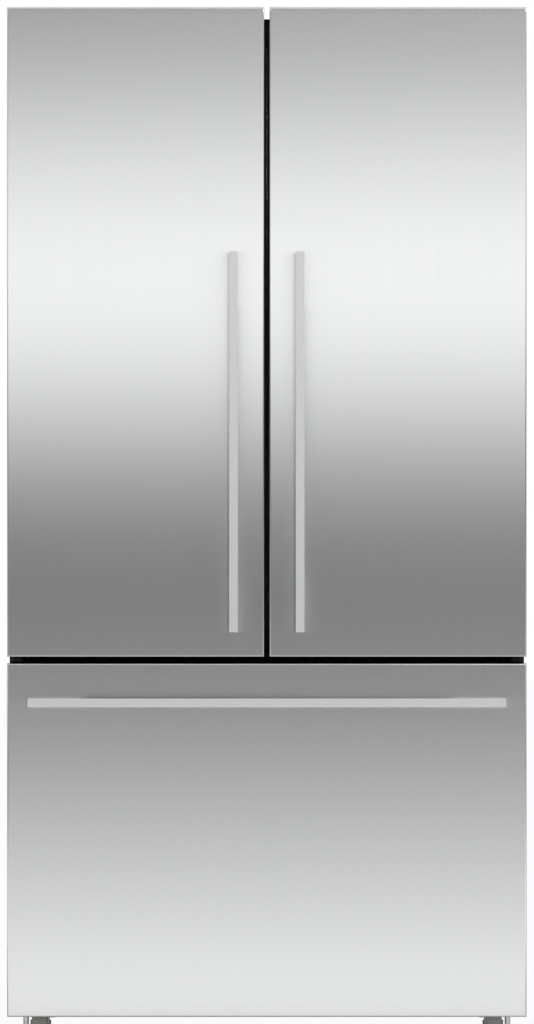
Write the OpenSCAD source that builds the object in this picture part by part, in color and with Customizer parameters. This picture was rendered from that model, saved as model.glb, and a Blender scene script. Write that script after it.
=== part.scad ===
/* [Overall] */
// Width across the door faces
face_w = 900; // [700:1:1000]
// Height from the floor to the top of the doors
total_h = 1790; // [1700:1:1900]
// Depth of the cabinet behind the doors
cabinet_d = 615; // [590:1:700]

/* [Doors] */
// Thickness of each door and of the drawer front
door_t = 68; // [60:1:80]
// Gap between the two doors
door_gap = 9.5; // [8:0.5:12]
// Gap between the doors and the drawer front
row_gap = 12; // [11.5:0.5:14]
// Height of the drawer front
drawer_h = 612; // [560:1:640]
// Height of the drawer front above the floor
floor_gap = 41; // [40:1:60]
// Space between the doors and the cabinet
gasket_gap = 12; // [11:0.5:14]
// Thickness of the folded steel skin
skin_t = 1; // [0.8:0.1:1.5]
// Outer radius of the folded edges of the skin
skin_r = 2.5; // [2:0.1:4]
// Thickness of the plastic end caps
cap_t = 15; // [12:1:18]
// Thickness of the inner door panel
panel_t = 3; // [2.5:0.1:4]
// Width of the door seal
seal_w = 14; // [12:1:16]
// Depth of the side ribs that hold the door bins
rib_d = 72; // [60:1:74]
// Width of those ribs
rib_w = 18; // [14:1:20]
// Depth of the door bins
bin_d = 77; // [60:1:78]
// Height of the open door bins
bin_h = 100; // [60:1:120]
// Height of the dairy box
dairy_h = 130; // [110:1:140]
// Height of the compartment's ceiling above the dairy box's floor
dairy_drop = 234; // [220:1:260]

/* [Handles] */
// Width of the square handle bars
bar_w = 15; // [10:1:20]
// Thickness of the handle bars
bar_t = 12; // [8:1:16]
// Distance from the door face to the front of a bar
handle_reach = 45; // [35:1:60]
// Length of the door handles
door_bar_l = 658; // [400:1:800]
// Length of the drawer handle
drawer_bar_l = 827; // [500:1:840]
// Distance of a door handle's centre from the middle of the front
bar_from_mid = 57.5; // [45:0.5:90]
// Height of the lower end of the door handles above the door's edge
bar_from_edge = 43; // [30:1:100]
// Distance of the drawer handle's centre below the drawer's top edge
bar_from_top = 67; // [40:1:120]
// Length of the posts that hold a bar
post_l = 92; // [20:1:110]

/* [Cabinet] */
// How much lower than the doors the cabinet's top is
top_drop = 16; // [16:1:24]
// How much narrower than the doors the cabinet is on each side
side_inset = 2; // [1:0.5:4]
// Thickness of the outer steel sheet
wrap_t = 1; // [0.8:0.1:1.5]
// Thickness of the insulated side walls
side_wall = 48; // [44:1:60]
// Thickness of the insulated top wall
top_wall = 50; // [44:1:70]
// Thickness of the insulated back wall
back_wall = 62; // [50:1:80]
// Thickness of the insulated wall between the compartments
mid_wall = 78; // [76:1:90]
// Height of the freezer's floor above the drawer front's lower edge
floor_wall = 64; // [60:1:70]
// Thickness of the plastic liners
liner_t = 2; // [1.5:0.5:3]
// Depth of the space for the compressor
machine_d = 218; // [210:1:240]
// Height of the space for the compressor
machine_h = 202; // [196:1:210]
// Thickness of the wall round the compressor's space
hump_wall = 50; // [44:1:60]

/* [Hinges] */
// Distance of the hinge pins from the door's side
pin_in = 18; // [16:0.5:22]
// Distance of the hinge pins behind the door's face
pin_back = 25; // [22:0.5:30]
// Radius of the hinge pins
pin_r = 5; // [4:0.5:6]
// Radial clearance of pins, axles and screws in their bores
run = 0.05; // [0.03:0.01:0.08]
// Thickness of the hinge plates
hinge_t = 4; // [3:0.5:4]
// Depth of the top hinges' plates on the cabinet
plate_d = 84; // [70:1:110]
// How far the top hinges' plates reach inward from the pins
plate_in = 62; // [54:1:70]
// Width of the hinge arms
arm_w = 24; // [20:1:26]
// Length of a hinge pin inside the door
pin_l = 12; // [8:1:13]

/* [Shelves and crispers] */
// Height of the lowest glass shelf above the compartment's floor
shelf_1 = 382; // [340:1:420]
// Distance between the glass shelves
shelf_step = 190; // [160:1:195]
// Thickness of the glass
glass_t = 5; // [4:0.5:6]
// Height of the shelf frames
frame_h = 12; // [10:1:16]
// Width of the shelf frames
frame_w = 16; // [14:1:24]
// Distance of the shelves' front behind the cabinet's front
shelf_back = 95; // [94:1:110]
// Depth of the shelves
shelf_d = 435; // [380:1:440]
// Height of the crisper drawers
crisper_h = 170; // [120:1:172]
// Thickness of the walls of the crispers, bins and baskets
wall = 3; // [2:0.5:4]
// Travel of the humidity sliders
slider_run = 40; // [20:1:60]
// Distance of the humidity sliders' slots from the middle
slider_x = 260; // [120:1:300]
// Radius of the grip cut into the front of a crisper
grip_r = 60; // [40:1:90]

/* [Freezer drawer] */
// Length of the drawer's runners
rail_l = 450; // [380:1:455]
// Height of the drawer's runners
rail_h = 40; // [34:1:44]
// Height of the runners' centre above the freezer's floor
rail_z = 281; // [270:1:300]
// Depth of the lower basket
basket_d = 325; // [260:1:330]
// Depth of the upper tray
tray_d = 320; // [260:1:325]
// Height of the upper tray
tray_h = 90; // [60:1:110]

/* [Base] */
// Radius of the rollers
roller_r = 20; // [16:1:22]
// Width of the rollers
roller_w = 24; // [18:1:28]
// Radius of the roller axles
axle_r = 4; // [3:0.5:5]
// Radius of the levelling feet
foot_r = 18; // [14:1:22]
// Radius of the levelling feet's screws
screw_r = 5; // [4:0.5:6]
// Distance of the rollers from the cabinet's sides
roller_in = 52; // [48:1:70]
// Radius of the holes for the anti-tip screws
tip_r = 3.25; // [2.5:0.25:4]
// Distance between the anti-tip holes
tip_gap = 60; // [40:1:100]

/* [Cooling] */
// Radius of the compressor's shell
comp_r = 80; // [70:1:84]
// Height of the compressor's shell
comp_h = 150; // [120:1:160]
// Radius of the fan blades
fan_r = 52; // [40:1:55]
// Width of the condenser
cond_w = 280; // [200:1:290]
// Width of the air duct panel
duct_w = 260; // [200:1:320]
// Width of the air slots in that panel
slot_w = 60; // [40:1:70]
// Depth of the space for the evaporator
evap_d = 66; // [60:1:72]
// Number of fins on the evaporator
evap_fins = 28; // [10:1:34]
// Number of fins on the condenser
cond_fins = 18; // [8:1:24]

/* [Hidden] */
$fn = 48;

// Clearance between pieces that are fitted together
fit = 0.2;
// Clearance between pieces that move past each other
slip = 0.3;

// Places along the depth, from the handles at the front to the cabinet's back
depth = cabinet_d + gasket_gap + door_t + handle_reach;
back_y = depth / 2;
front_y = back_y - cabinet_d;
rear_y = front_y - gasket_gap;
face_y = rear_y - door_t;

// Places along the height
drawer_z = floor_gap;
drawer_top = drawer_z + drawer_h;
door_z = drawer_top + row_gap;
door_top = total_h;
door_h = door_top - door_z;
cab_top = total_h - top_drop;
cab_x = face_w / 2 - side_inset;
base_z = floor_gap + 5;
base_t = 2;
machine_z = base_z + base_t;
machine_y = back_y - machine_d - base_t;
machine_top = machine_z + machine_h;

// Inner faces of the two compartments
in_x = cab_x - side_wall;
out_x = in_x + liner_t;
freezer_z = drawer_z + floor_wall;
mid_z = door_z - row_gap / 2;
freezer_top = mid_z - mid_wall / 2;
fridge_z = freezer_top + mid_wall;
fridge_top = cab_top - top_wall;
inner_y = back_y - back_wall;
hump_z = machine_top + base_t + hump_wall + liner_t;
hump_y = machine_y - base_t - hump_wall - liner_t;

// Doors, drawn for the right door and mirrored for the left one
door_x0 = door_gap / 2;
door_x1 = face_w / 2;
door_w = door_x1 - door_x0;
pin_x = door_x1 - pin_in;
pin_y = face_y + pin_back;
panel_y = rear_y - panel_t;
pocket_z = cab_top - 1;
top_cap_z = pocket_z - pin_l - 3;
foam_in = skin_r - (skin_r - skin_t) / sqrt(2) + fit / 2;
seal_x1 = pin_x - 4;
seal_x0 = door_x0 + 5.25;
seal_z0 = door_z + 12;
seal_z1 = fridge_top + 34;
seal_y = front_y - slip;
rib_x1 = pin_x - 40;
rib_x0 = door_x0 + 43;
rib_z0 = fridge_z + 18;
rib_z1 = fridge_top - 14;
bin_x0 = rib_x0 + rib_w + fit;
bin_x1 = rib_x1 - rib_w - fit;
dairy_z = fridge_top - dairy_drop;
bin_z0 = rib_z0 + rib_w + fit;
bin_step = (dairy_z - bin_z0) / 3;
bin_zs = [for (i = [0:2]) bin_z0 + i * bin_step];
lid_y = rear_y + 7;
lid_z = dairy_z + dairy_h;
lid_t = 2.5;

// Mullion flap on the left door
flap_x = -32;
flap_y = front_y + 7;
flap_t = 18;
flap_w = 62;
flap_z0 = fridge_z + 14;
flap_z1 = fridge_top - 12;

// Shelves
shelf_y0 = front_y + shelf_back;
shelf_y1 = shelf_y0 + shelf_d;
shelf_zs = [for (i = [0:2]) fridge_z + shelf_1 + i * shelf_step];
crisper_z0 = fridge_z + 4;
cover_z = crisper_z0 + crisper_h + 16;
slider_z = cover_z - 5;
shelf_x = in_x - 3;

// Freezer drawer's runners
rail_y0 = front_y + 10;
rail_mid = freezer_z + rail_z;
rail_x = in_x - fit;
basket_x = in_x - 28;
basket_y0 = front_y + 9;
basket_z0 = freezer_z + 9;
runner_t = 3;
lip_z = rail_mid - rail_h / 2 + 8;
tray_z0 = lip_z + 12 + slip;
tray_y0 = front_y + 18;
evap_y = inner_y - evap_d;

// Machine space and fans
comp_x = 233 - cab_x;
comp_y = machine_y + machine_d / 2 + 4;
cond_x1 = cab_x - 98;
cond_x0 = cond_x1 - cond_w;
cfan_x = cond_x0 - 60;
cfan_z = machine_z + 96;
efan_z = freezer_top - 76;
efan_y = evap_y + 18;
inlet_x = 82 - cab_x;
inlet_w = 52;
inlet_z = machine_z + 60;
hub_r = 14;
shaft_r = 3;
fan_t = 18;

// Base
foot_x = cab_x - 28;
foot_y = front_y + 24;
roller_x = cab_x - roller_in;
front_roller_y = front_y + 82;
rear_roller_y = back_y - 48;
front_lift = 2.2;

module block(x0, x1, y0, y1, z0, z1) {
    translate([x0, y0, z0])
        cube([x1 - x0, y1 - y0, z1 - z0]);
}

module both() {
    children();
    mirror([1, 0, 0])
        children();
}

// Plate outline with round corners, made of exact arcs
module round_plate(w, d, r) {
    translate([r, 0])
        square([w - 2 * r, d]);
    translate([0, r])
        square([w, d - 2 * r]);
    for (x = [r, w - r])
        for (y = [r, d - r])
            translate([x, y])
                circle(r);
}

// Ring that lies in a plane square to the depth
module frame_ring(x0, x1, z0, z1, w, y0, y1) {
    difference() {
        block(x0, x1, y0, y1, z0, z1);
        block(x0 + w, x1 - w, y0 - 1, y1 + 1, z0 + w, z1 - w);
    }
}

// Open-topped tub with round upright edges
module tub(x0, x1, y0, y1, z0, z1, r, t) {
    difference() {
        translate([x0, y0, z0])
            linear_extrude(z1 - z0)
                round_plate(x1 - x0, y1 - y0, r);
        translate([x0 + t, y0 + t, z0 + t])
            linear_extrude(z1 - z0)
                round_plate(x1 - x0 - 2 * t, y1 - y0 - 2 * t, r - t / 2);
    }
}

module cabinet_wrapper() {
    color("silver")
        difference() {
            block(-cab_x, cab_x, front_y + 2, back_y - 2, base_z, cab_top);
            block(-cab_x + wrap_t, cab_x - wrap_t, front_y, back_y, 0, cab_top - wrap_t);
        }
}

module rear_panel() {
    color("gainsboro")
        block(-cab_x, cab_x, back_y - 2 + fit / 2, back_y, machine_top + 4, cab_top);
}

// Ear and axle of one roller
module roller_bracket(y, z) {
    for (s = [-1, 1])
        translate([roller_x + s * (roller_w / 2 + 2), y, 0])
            block(-1.5, 1.5, -14, 14, z - 8, base_z + 0.5);
    translate([roller_x - roller_w / 2 - 6, y, z])
        rotate([0, 90, 0])
            cylinder(r = axle_r, h = roller_w + 12);
}

module base_pan() {
    pan_x = cab_x - wrap_t - fit;
    color("darkgray")
        difference() {
            union() {
                block(-pan_x, pan_x, front_y + 3, back_y - 2, base_z, machine_z);
                block(-pan_x, pan_x, machine_y - base_t, machine_y, base_z, machine_top + base_t);
                block(-pan_x, pan_x, machine_y - base_t, back_y - 3, machine_top, machine_top + base_t);
                both() {
                    roller_bracket(front_roller_y, roller_r + front_lift);
                    roller_bracket(rear_roller_y, roller_r);
                    translate([foot_x, foot_y, base_z - 9])
                        cylinder(r = screw_r + 6, h = 9.5);
                }
            }
            both()
                translate([foot_x, foot_y, base_z - 20])
                    cylinder(r = screw_r + run, h = 30);
            for (s = [-1, 1])
                translate([s * tip_gap / 2, back_y - 22, base_z - 1])
                    cylinder(r = tip_r, h = base_t + 2);
        }
}

module cabinet_foam() {
    sx0 = out_x + fit;
    sx1 = cab_x - wrap_t - fit;
    y0 = front_y + 2 + fit;
    y1 = back_y - 2 - fit;
    z0 = machine_z + fit;
    z1 = cab_top - wrap_t - fit;
    hump_out = hump_y + liner_t + fit;
    color("khaki") {
        both() {
            block(sx0, sx1, y0, y1, machine_top + base_t + fit, z1);
            block(sx0, sx1, y0, machine_y - base_t - fit, z0, machine_top + base_t);
        }
        block(-out_x, out_x, y0, y1, fridge_top + liner_t + fit, z1);
        block(-out_x, out_x, inner_y + liner_t + fit, y1, machine_top + base_t + fit,
            fridge_top + liner_t);
        block(-out_x, out_x, y0, inner_y + liner_t, freezer_top + liner_t + fit,
            fridge_z - liner_t - fit);
        block(-out_x, out_x, y0, hump_out - fit, z0, freezer_z - liner_t - fit);
        block(-out_x, out_x, hump_out, machine_y - base_t - fit, z0, hump_z - liner_t - fit);
        block(-out_x, out_x, machine_y - base_t, inner_y + liner_t, machine_top + base_t + fit,
            hump_z - liner_t - fit);
    }
}

module fridge_liner() {
    y0 = front_y + 2 + fit;
    color("whitesmoke") {
        difference() {
            block(-out_x, out_x, y0, inner_y + liner_t, fridge_z - liner_t, fridge_top + liner_t);
            block(-in_x, in_x, y0 - 1, inner_y, fridge_z, fridge_top);
        }
        both() {
            for (z = concat(shelf_zs, [cover_z]))
                block(in_x - 9, in_x + 0.5, shelf_y0 + 2, shelf_y1 - 4,
                    z - frame_h + 2 - 7, z - frame_h + 2 - slip);
            for (x = [24, in_x - 40])
                block(x, x + 6, shelf_y0 + 20, shelf_y1 - 75, fridge_z - 0.5,
                    crisper_z0 - slip);
        }
    }
}

module freezer_liner() {
    y0 = front_y + 2 + fit;
    color("whitesmoke")
        difference() {
            union() {
                block(-out_x, out_x, y0, hump_y + liner_t, freezer_z - liner_t,
                    freezer_top + liner_t);
                block(-out_x, out_x, hump_y, inner_y + liner_t, hump_z - liner_t,
                    freezer_top + liner_t);
            }
            block(-in_x, in_x, y0 - 1, hump_y, freezer_z, freezer_top);
            block(-in_x, in_x, y0 - 1, inner_y, hump_z, freezer_top);
        }
}

module front_frame() {
    color("black")
        difference() {
            block(-cab_x, cab_x, front_y, front_y + 2, base_z, cab_top);
            block(-in_x, in_x, front_y - 1, front_y + 3, fridge_z, fridge_top);
            block(-in_x, in_x, front_y - 1, front_y + 3, freezer_z, freezer_top);
        }
}

module top_hinges() {
    plate_y0 = front_y + 8;
    screws = [[14 - plate_in, 16], [14 - plate_in, plate_d - 16], [-arm_w / 4, plate_d * 0.62]];
    color("dimgray")
        both()
            difference() {
                union() {
                    block(pin_x - arm_w / 2, pin_x + arm_w / 2, pin_y, front_y + 30,
                        cab_top, cab_top + hinge_t);
                    block(pin_x - plate_in, pin_x + arm_w / 2, plate_y0, plate_y0 + plate_d,
                        cab_top, cab_top + hinge_t);
                    translate([pin_x, pin_y, cab_top])
                        cylinder(r = arm_w / 2, h = hinge_t);
                    translate([pin_x, pin_y, pocket_z - pin_l])
                        cylinder(r = pin_r, h = pin_l + 2);
                    for (p = screws)
                        translate([pin_x + p[0], plate_y0 + p[1], cab_top + hinge_t - 0.5])
                            cylinder(r = 6, h = 4.5);
                }
                for (p = screws)
                    translate([pin_x + p[0], plate_y0 + p[1], cab_top + hinge_t + 1])
                        cylinder(r = 2.6, h = 6, $fn = 6);
            }
}

module centre_hinges() {
    z0 = mid_z - hinge_t / 2;
    color("black")
        both() {
            block(pin_x - arm_w / 2, pin_x + arm_w / 2, pin_y, front_y, z0, z0 + hinge_t);
            translate([pin_x, pin_y, z0])
                cylinder(r = arm_w / 2, h = hinge_t);
            translate([pin_x, pin_y, z0 + hinge_t - 1])
                cylinder(r = pin_r, h = door_z - z0 - hinge_t + 1 + pin_l);
            translate([pin_x, pin_y, z0 + hinge_t - 1])
                cylinder(r = pin_r + 4, h = door_z - slip - z0 - hinge_t + 1);
            block(pin_x - 32, pin_x + arm_w / 2, front_y - 3, front_y, z0 - 14, z0 + 18);
            for (x = [-24, -2])
                translate([pin_x + x, front_y - 3, z0 + 11])
                    rotate([90, 0, 0])
                        cylinder(r = 4, h = 2.4);
        }
}

module hinge_covers() {
    x0 = pin_x - plate_in - 18;
    x1 = cab_x - 1;
    y0 = front_y + 2;
    y1 = y0 + plate_d + 44;
    top = cab_top + 14;
    color("dimgray")
        both()
            difference() {
                block(x0, x1, y0, y1, cab_top, top);
                block(x0 + 2, x1 - 2, y0 + 2, y1 - 2, cab_top - 1, top - 2);
                block(pin_x - arm_w / 2 - 1, pin_x + arm_w / 2 + 1, y0 - 1, y0 + 3,
                    cab_top - 1, cab_top + hinge_t + 1);
            }
}

module duct_panel() {
    y0 = inner_y - 18;
    duct_z0 = cover_z + 40;
    duct_z1 = fridge_top - 40;
    color("white")
        difference() {
            block(-duct_w / 2, duct_w / 2, y0, inner_y - fit, duct_z0, duct_z1);
            block(4 - duct_w / 2, duct_w / 2 - 4, y0 + 3, inner_y + 1, duct_z0 + 4, duct_z1 - 4);
            for (z = shelf_zs)
                for (x = [-slot_w - 30, 30])
                    for (k = [0:3])
                        block(x, x + slot_w, y0 - 1, y0 + 4, z + 60 + k * 14, z + 66 + k * 14);
        }
}

module ceiling_light() {
    color("ivory")
        difference() {
            translate([-120, front_y + 185, fridge_top - 10])
                linear_extrude(10 - fit)
                    round_plate(240, 90, 12);
            translate([-116, front_y + 189, fridge_top - 8])
                linear_extrude(10)
                    round_plate(232, 82, 10);
        }
}

// Frame of one shelf with the seat for its glass
module shelf_frame(z) {
    lip = 4;
    difference() {
        translate([-shelf_x, shelf_y0, z - frame_h + 2])
            linear_extrude(frame_h)
                round_plate(2 * shelf_x, shelf_d, 5);
        block(-shelf_x + frame_w, shelf_x - frame_w, shelf_y0 + frame_w, shelf_y1 - frame_w,
            z - frame_h, z + 4);
        block(-shelf_x + frame_w - lip, shelf_x - frame_w + lip, shelf_y0 + frame_w - lip,
            shelf_y1 - frame_w + lip, z - glass_t, z + 4);
    }
}

module shelf_frames() {
    color("lightgray") {
        for (z = shelf_zs)
            shelf_frame(z);
        difference() {
            shelf_frame(cover_z);
            for (x = [-slider_x, slider_x])
                block(x - slider_run / 2 - 14, x + slider_run / 2 + 14, shelf_y0 - 1,
                    shelf_y0 + 6, slider_z - 2.5, slider_z + 2.5);
        }
    }
}

module glass_shelves() {
    edge = frame_w - 4 + fit;
    color("lightcyan", 0.5)
        for (z = concat(shelf_zs, [cover_z]))
            block(-shelf_x + edge, shelf_x - edge, shelf_y0 + edge, shelf_y1 - edge,
                z - glass_t, z);
}

module slider_knob(x) {
    color("white") {
        block(x - 11, x + 11, shelf_y0 - 7, shelf_y0 - slip, slider_z - 4.5, slider_z + 4.5);
        block(x - 8, x + 8, shelf_y0 - 1, shelf_y0 + 5, slider_z - 2.2, slider_z + 2.2);
    }
}

module left_humidity_slider() {
    slider_knob(-slider_x - slider_run / 2);
}

module right_humidity_slider() {
    slider_knob(slider_x - slider_run / 2);
}

// One clear crisper with a grip along its front
module crisper() {
    x0 = 6;
    x1 = in_x - 25;
    y1 = shelf_y1 - 57;
    top = crisper_z0 + crisper_h;
    color("aliceblue", 0.6) {
        difference() {
            tub(x0, x1, shelf_y0, y1, crisper_z0, top, 10, wall);
            translate([(x0 + x1) / 2, shelf_y0 - 1, top])
                rotate([-90, 0, 0])
                    cylinder(r = grip_r, h = wall + 3, $fn = 72);
        }
        block(x0 + 20, x1 - 20, shelf_y0 + wall - 0.5, shelf_y0 + 16,
            top - grip_r - 6, top - grip_r - 2);
    }
}

module left_crisper() {
    mirror([1, 0, 0])
        crisper();
}

module right_crisper() {
    crisper();
}

module evaporator_cover() {
    color("whitesmoke")
        difference() {
            block(-in_x + fit, in_x - fit, evap_y - 4, evap_y, hump_z + fit, freezer_top - fit);
            translate([0, evap_y + 1, efan_z])
                rotate([90, 0, 0])
                    difference() {
                        cylinder(r = fan_r + 4, h = 6);
                        for (a = [0, 90])
                            rotate(a)
                                translate([-fan_r - 5, -3, -1])
                                    cube([2 * fan_r + 10, 6, 8]);
                        translate([0, 0, -1])
                            cylinder(r = 20, h = 8);
                        translate([0, 0, -1])
                            difference() {
                                cylinder(r = 40, h = 8);
                                translate([0, 0, -1])
                                    cylinder(r = 36, h = 10);
                            }
                    }
            for (x = [-300, -180, 120, 240])
                for (k = [0:3])
                    block(x, x + 60, evap_y - 5, evap_y + 1, hump_z + 24 + k * 14,
                        hump_z + 30 + k * 14);
        }
}

module evaporator() {
    w = 300;
    z0 = hump_z + 12;
    z1 = efan_z - fan_r - 14;
    tube_r = 4;
    color("silver") {
        for (i = [0:evap_fins - 1])
            translate([-w + i * 2 * w / (evap_fins - 1) - 0.5, evap_y + 6, z0])
                cube([1, evap_d - 12, z1 - z0]);
        for (y = [evap_y + 20, evap_y + evap_d - 20])
            for (z = [z0 + 12 : 24 : z1 - 8])
                translate([-w - 14, y, z])
                    rotate([0, 90, 0])
                        cylinder(r = tube_r, h = 2 * w + 28, $fn = 16);
        for (s = [-1, 1])
            block(s * (w + 14) - 3, s * (w + 14) + 3, evap_y + 10, evap_y + evap_d - 10,
                z0, z1);
        for (s = [-1, 1])
            block(s * (w + 14) - 3, s * (w + 14) + 3, evap_y + evap_d - 11,
                inner_y - fit, z1 - 20, z1 - 5);
    }
}

// Fan with flat blades round a hub, drawn about the Z axis
module fan_wheel() {
    difference() {
        union() {
            cylinder(r = hub_r, h = fan_t);
            for (a = [0:60:300])
                rotate(a)
                    translate([hub_r - 2, -1, 0])
                        rotate([32, 0, 0])
                            translate([0, -8, 1])
                                cube([fan_r - hub_r - 2, 20, 1.6]);
        }
        translate([0, 0, -1])
            cylinder(r = shaft_r + run, h = fan_t + 2);
        translate([0, 0, -20])
            cylinder(r = fan_r + 10, h = 20);
        translate([0, 0, fan_t])
            cylinder(r = fan_r + 10, h = 20);
    }
}

module evaporator_fan() {
    color("white")
        translate([0, efan_y, efan_z])
            rotate([-90, 0, 0])
                fan_wheel();
}

module condenser_fan() {
    color("dimgray")
        translate([cfan_x, comp_y, cfan_z])
            rotate([0, 90, 0])
                fan_wheel();
}

module fan_motors() {
    color("darkslategray") {
        translate([0, efan_y + fan_t + slip, efan_z])
            rotate([-90, 0, 0])
                cylinder(r = 22, h = inner_y - fit - efan_y - fan_t - slip);
        translate([0, efan_y - 2, efan_z])
            rotate([-90, 0, 0])
                cylinder(r = shaft_r, h = fan_t + 6);
        translate([cfan_x + fan_t + slip, comp_y, cfan_z])
            rotate([0, 90, 0])
                cylinder(r = 22, h = 28);
        translate([cfan_x - 2, comp_y, cfan_z])
            rotate([0, 90, 0])
                cylinder(r = shaft_r, h = fan_t + 6);
        difference() {
            block(cfan_x - 6, cfan_x + fan_t + 34, comp_y - 68, comp_y + 68, machine_z,
                cfan_z + 68);
            translate([cfan_x - 8, comp_y, cfan_z])
                rotate([0, 90, 0])
                    cylinder(r = fan_r + 3, h = fan_t + 60, $fn = 72);
        }
        for (a = [0, 120, 240])
            translate([cfan_x + fan_t + 14, comp_y, cfan_z])
                rotate([a, 0, 0])
                    translate([0, -3, 18])
                        cube([8, 6, fan_r - 12]);
    }
}

module compressor() {
    z0 = machine_z + 20;
    color([0.08, 0.08, 0.09]) {
        translate([comp_x, comp_y, z0])
            rotate_extrude($fn = 72)
                difference() {
                    union() {
                        translate([0, 20])
                            square([comp_r, comp_h - 40]);
                        translate([0, 0])
                            square([comp_r - 20, comp_h]);
                        translate([comp_r - 20, 20])
                            circle(20);
                        translate([comp_r - 20, comp_h - 20])
                            circle(20);
                        translate([0, comp_h * 0.55])
                            square([comp_r + 3, 5]);
                    }
                    translate([0, 22])
                        square([comp_r - 3, comp_h - 44]);
                    translate([0, 3])
                        square([comp_r - 22, comp_h - 6]);
                }
        difference() {
            block(comp_x - 92, comp_x + 92, comp_y - 70, comp_y + 70, z0 - 4, z0 + 0.5);
            for (x = [-78, 78])
                for (y = [-56, 56])
                    translate([comp_x + x, comp_y + y, z0 - 6])
                        cylinder(r = 6, h = 10);
        }
        for (x = [-78, 78])
            for (y = [-56, 56])
                translate([comp_x + x, comp_y + y, machine_z])
                    difference() {
                        union() {
                            cylinder(r = 11, h = 16);
                            cylinder(r = 5.8, h = 22);
                        }
                        translate([0, 0, -1])
                            cylinder(r = 3, h = 30);
                    }
        block(comp_x + comp_r - 2, comp_x + comp_r + 22, comp_y - 24, comp_y + 24,
            z0 + 40, z0 + 100);
        translate([comp_x - 40, comp_y + 20, z0 + comp_h - 3])
            cylinder(r = 4, h = 16);
    }
}

module condenser() {
    z0 = machine_z + 34;
    z1 = machine_top - 26;
    y0 = comp_y - 64;
    y1 = comp_y + 64;
    color([0.1, 0.1, 0.1]) {
        for (i = [0:cond_fins - 1])
            translate([cond_x0 + 12 + i * (cond_x1 - cond_x0 - 24) / (cond_fins - 1) - 0.5, y0, z0])
                cube([1, y1 - y0, z1 - z0]);
        for (y = [y0 + 16 : 32 : y1 - 10])
            for (z = [z0 + 14 : 28 : z1 - 8])
                translate([cond_x0, y, z])
                    rotate([0, 90, 0])
                        cylinder(r = 3.5, h = cond_x1 - cond_x0, $fn = 16);
        for (x = [cond_x0, cond_x1])
            block(x - 3, x + 3, y0 + 4, y1 - 4, machine_z, z1);
    }
}

module drip_tray() {
    color("gray")
        tub(cond_x0 + 6, cond_x1 - 6, comp_y - 80, comp_y + 80, machine_z + fit, machine_z + 28, 10, 2);
}

module machine_cover() {
    color("dimgray")
        difference() {
            block(-cab_x + wrap_t + 2, cab_x - wrap_t - 2, back_y - 2 + fit, back_y, machine_z + fit,
                machine_top + 4 - fit);
            for (x = [inlet_x + inlet_w + 44 : 18 : cab_x - 60])
                for (z = [machine_z + 26, machine_z + 112])
                    translate([x, back_y - 5, z])
                        cube([7, 8, 64]);
            block(inlet_x - inlet_w / 2, inlet_x + inlet_w / 2, back_y - 5, back_y + 1,
                inlet_z, inlet_z + 40);
            for (x = [-cab_x + 14, cab_x - 14])
                translate([x, back_y + 1, machine_top - 10])
                    rotate([90, 0, 0])
                        cylinder(r = 2.5, h = 6);
        }
}

module power_inlet() {
    w = inlet_w / 2 - fit;
    color([0.07, 0.07, 0.07])
        difference() {
            union() {
                block(inlet_x - w, inlet_x + w, back_y - 34, back_y, inlet_z + fit,
                    inlet_z + 40 - fit);
                block(inlet_x - w + 6, inlet_x + w - 6, back_y - 34, back_y - 4, machine_z,
                    inlet_z + 2);
            }
            block(inlet_x - 17, inlet_x + 17, back_y - 26, back_y + 1, inlet_z + 8, inlet_z + 32);
        }
    color("silver")
        for (p = [[-9, 4], [0, -5], [9, 4]])
            translate([inlet_x + p[0], 0, inlet_z + 20 + p[1]])
                block(-1, 1, back_y - 27, back_y - 9, -2, 2);
}

// Open channel of a drawer runner, with its back at x1
module channel(x0, x1, h, t, y0, l) {
    difference() {
        block(x0, x1, y0, y0 + l, rail_mid - h / 2, rail_mid + h / 2);
        block(x0 - 1, x1 - t, y0 - 1, y0 + l + 1, rail_mid - h / 2 + t, rail_mid + h / 2 - t);
    }
}

module fixed_rails() {
    color("silver")
        both()
            channel(rail_x - 11, rail_x, rail_h, 2, rail_y0, rail_l);
}

module middle_rails() {
    color("lightgray")
        both()
            channel(rail_x - 13, rail_x - 2.4, rail_h - 4.8, 2, rail_y0, rail_l);
}

module moving_rails() {
    h = rail_h - 9.6;
    x1 = rail_x - 4.8;
    x0 = x1 - 10.8;
    color("silver")
        both() {
            difference() {
                block(x0, x1, rail_y0, rail_y0 + rail_l, rail_mid - h / 2, rail_mid + h / 2);
                block(x0 + 2, x1 + 1, rail_y0 - 1, rail_y0 + rail_l + 1, rail_mid - h / 2 + 2,
                    rail_mid + h / 2 - 2);
            }
            block(x0, x0 + 2, rear_y, rail_y0 + 1, rail_mid - 44, rail_mid + h / 2);
            block(x0, x0 + 2, rear_y, rail_y0 + 40, rail_mid - 44, rail_mid - h / 2 + 1);
        }
}

// Skin of a door or of the drawer front, folded from one sheet
module folded_skin(x0, x1, z0, z1) {
    w = x1 - x0;
    d = door_t - panel_t - fit;
    translate([x0, face_y, z0])
        linear_extrude(z1 - z0)
            difference() {
                union() {
                    round_plate(w, 3 * skin_r, skin_r);
                    translate([0, skin_r])
                        square([w, d - skin_r]);
                }
                translate([skin_t, skin_r])
                    square([w - 2 * skin_t, d]);
                translate([skin_r, skin_t])
                    square([w - 2 * skin_r, d]);
                for (x = [skin_r, w - skin_r])
                    translate([x, skin_r])
                        circle(skin_r - skin_t);
            }
}

// Room that the hinge arm needs above the end cap
module hinge_pocket() {
    block(pin_x - arm_w / 2 - 5, door_x1 + 1, face_y + 1.5, rear_y + 1, pocket_z, door_top + 1);
}

module door_skin() {
    color([0.74, 0.75, 0.76])
        difference() {
            folded_skin(door_x0, door_x1, door_z, door_top);
            hinge_pocket();
        }
}

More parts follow.
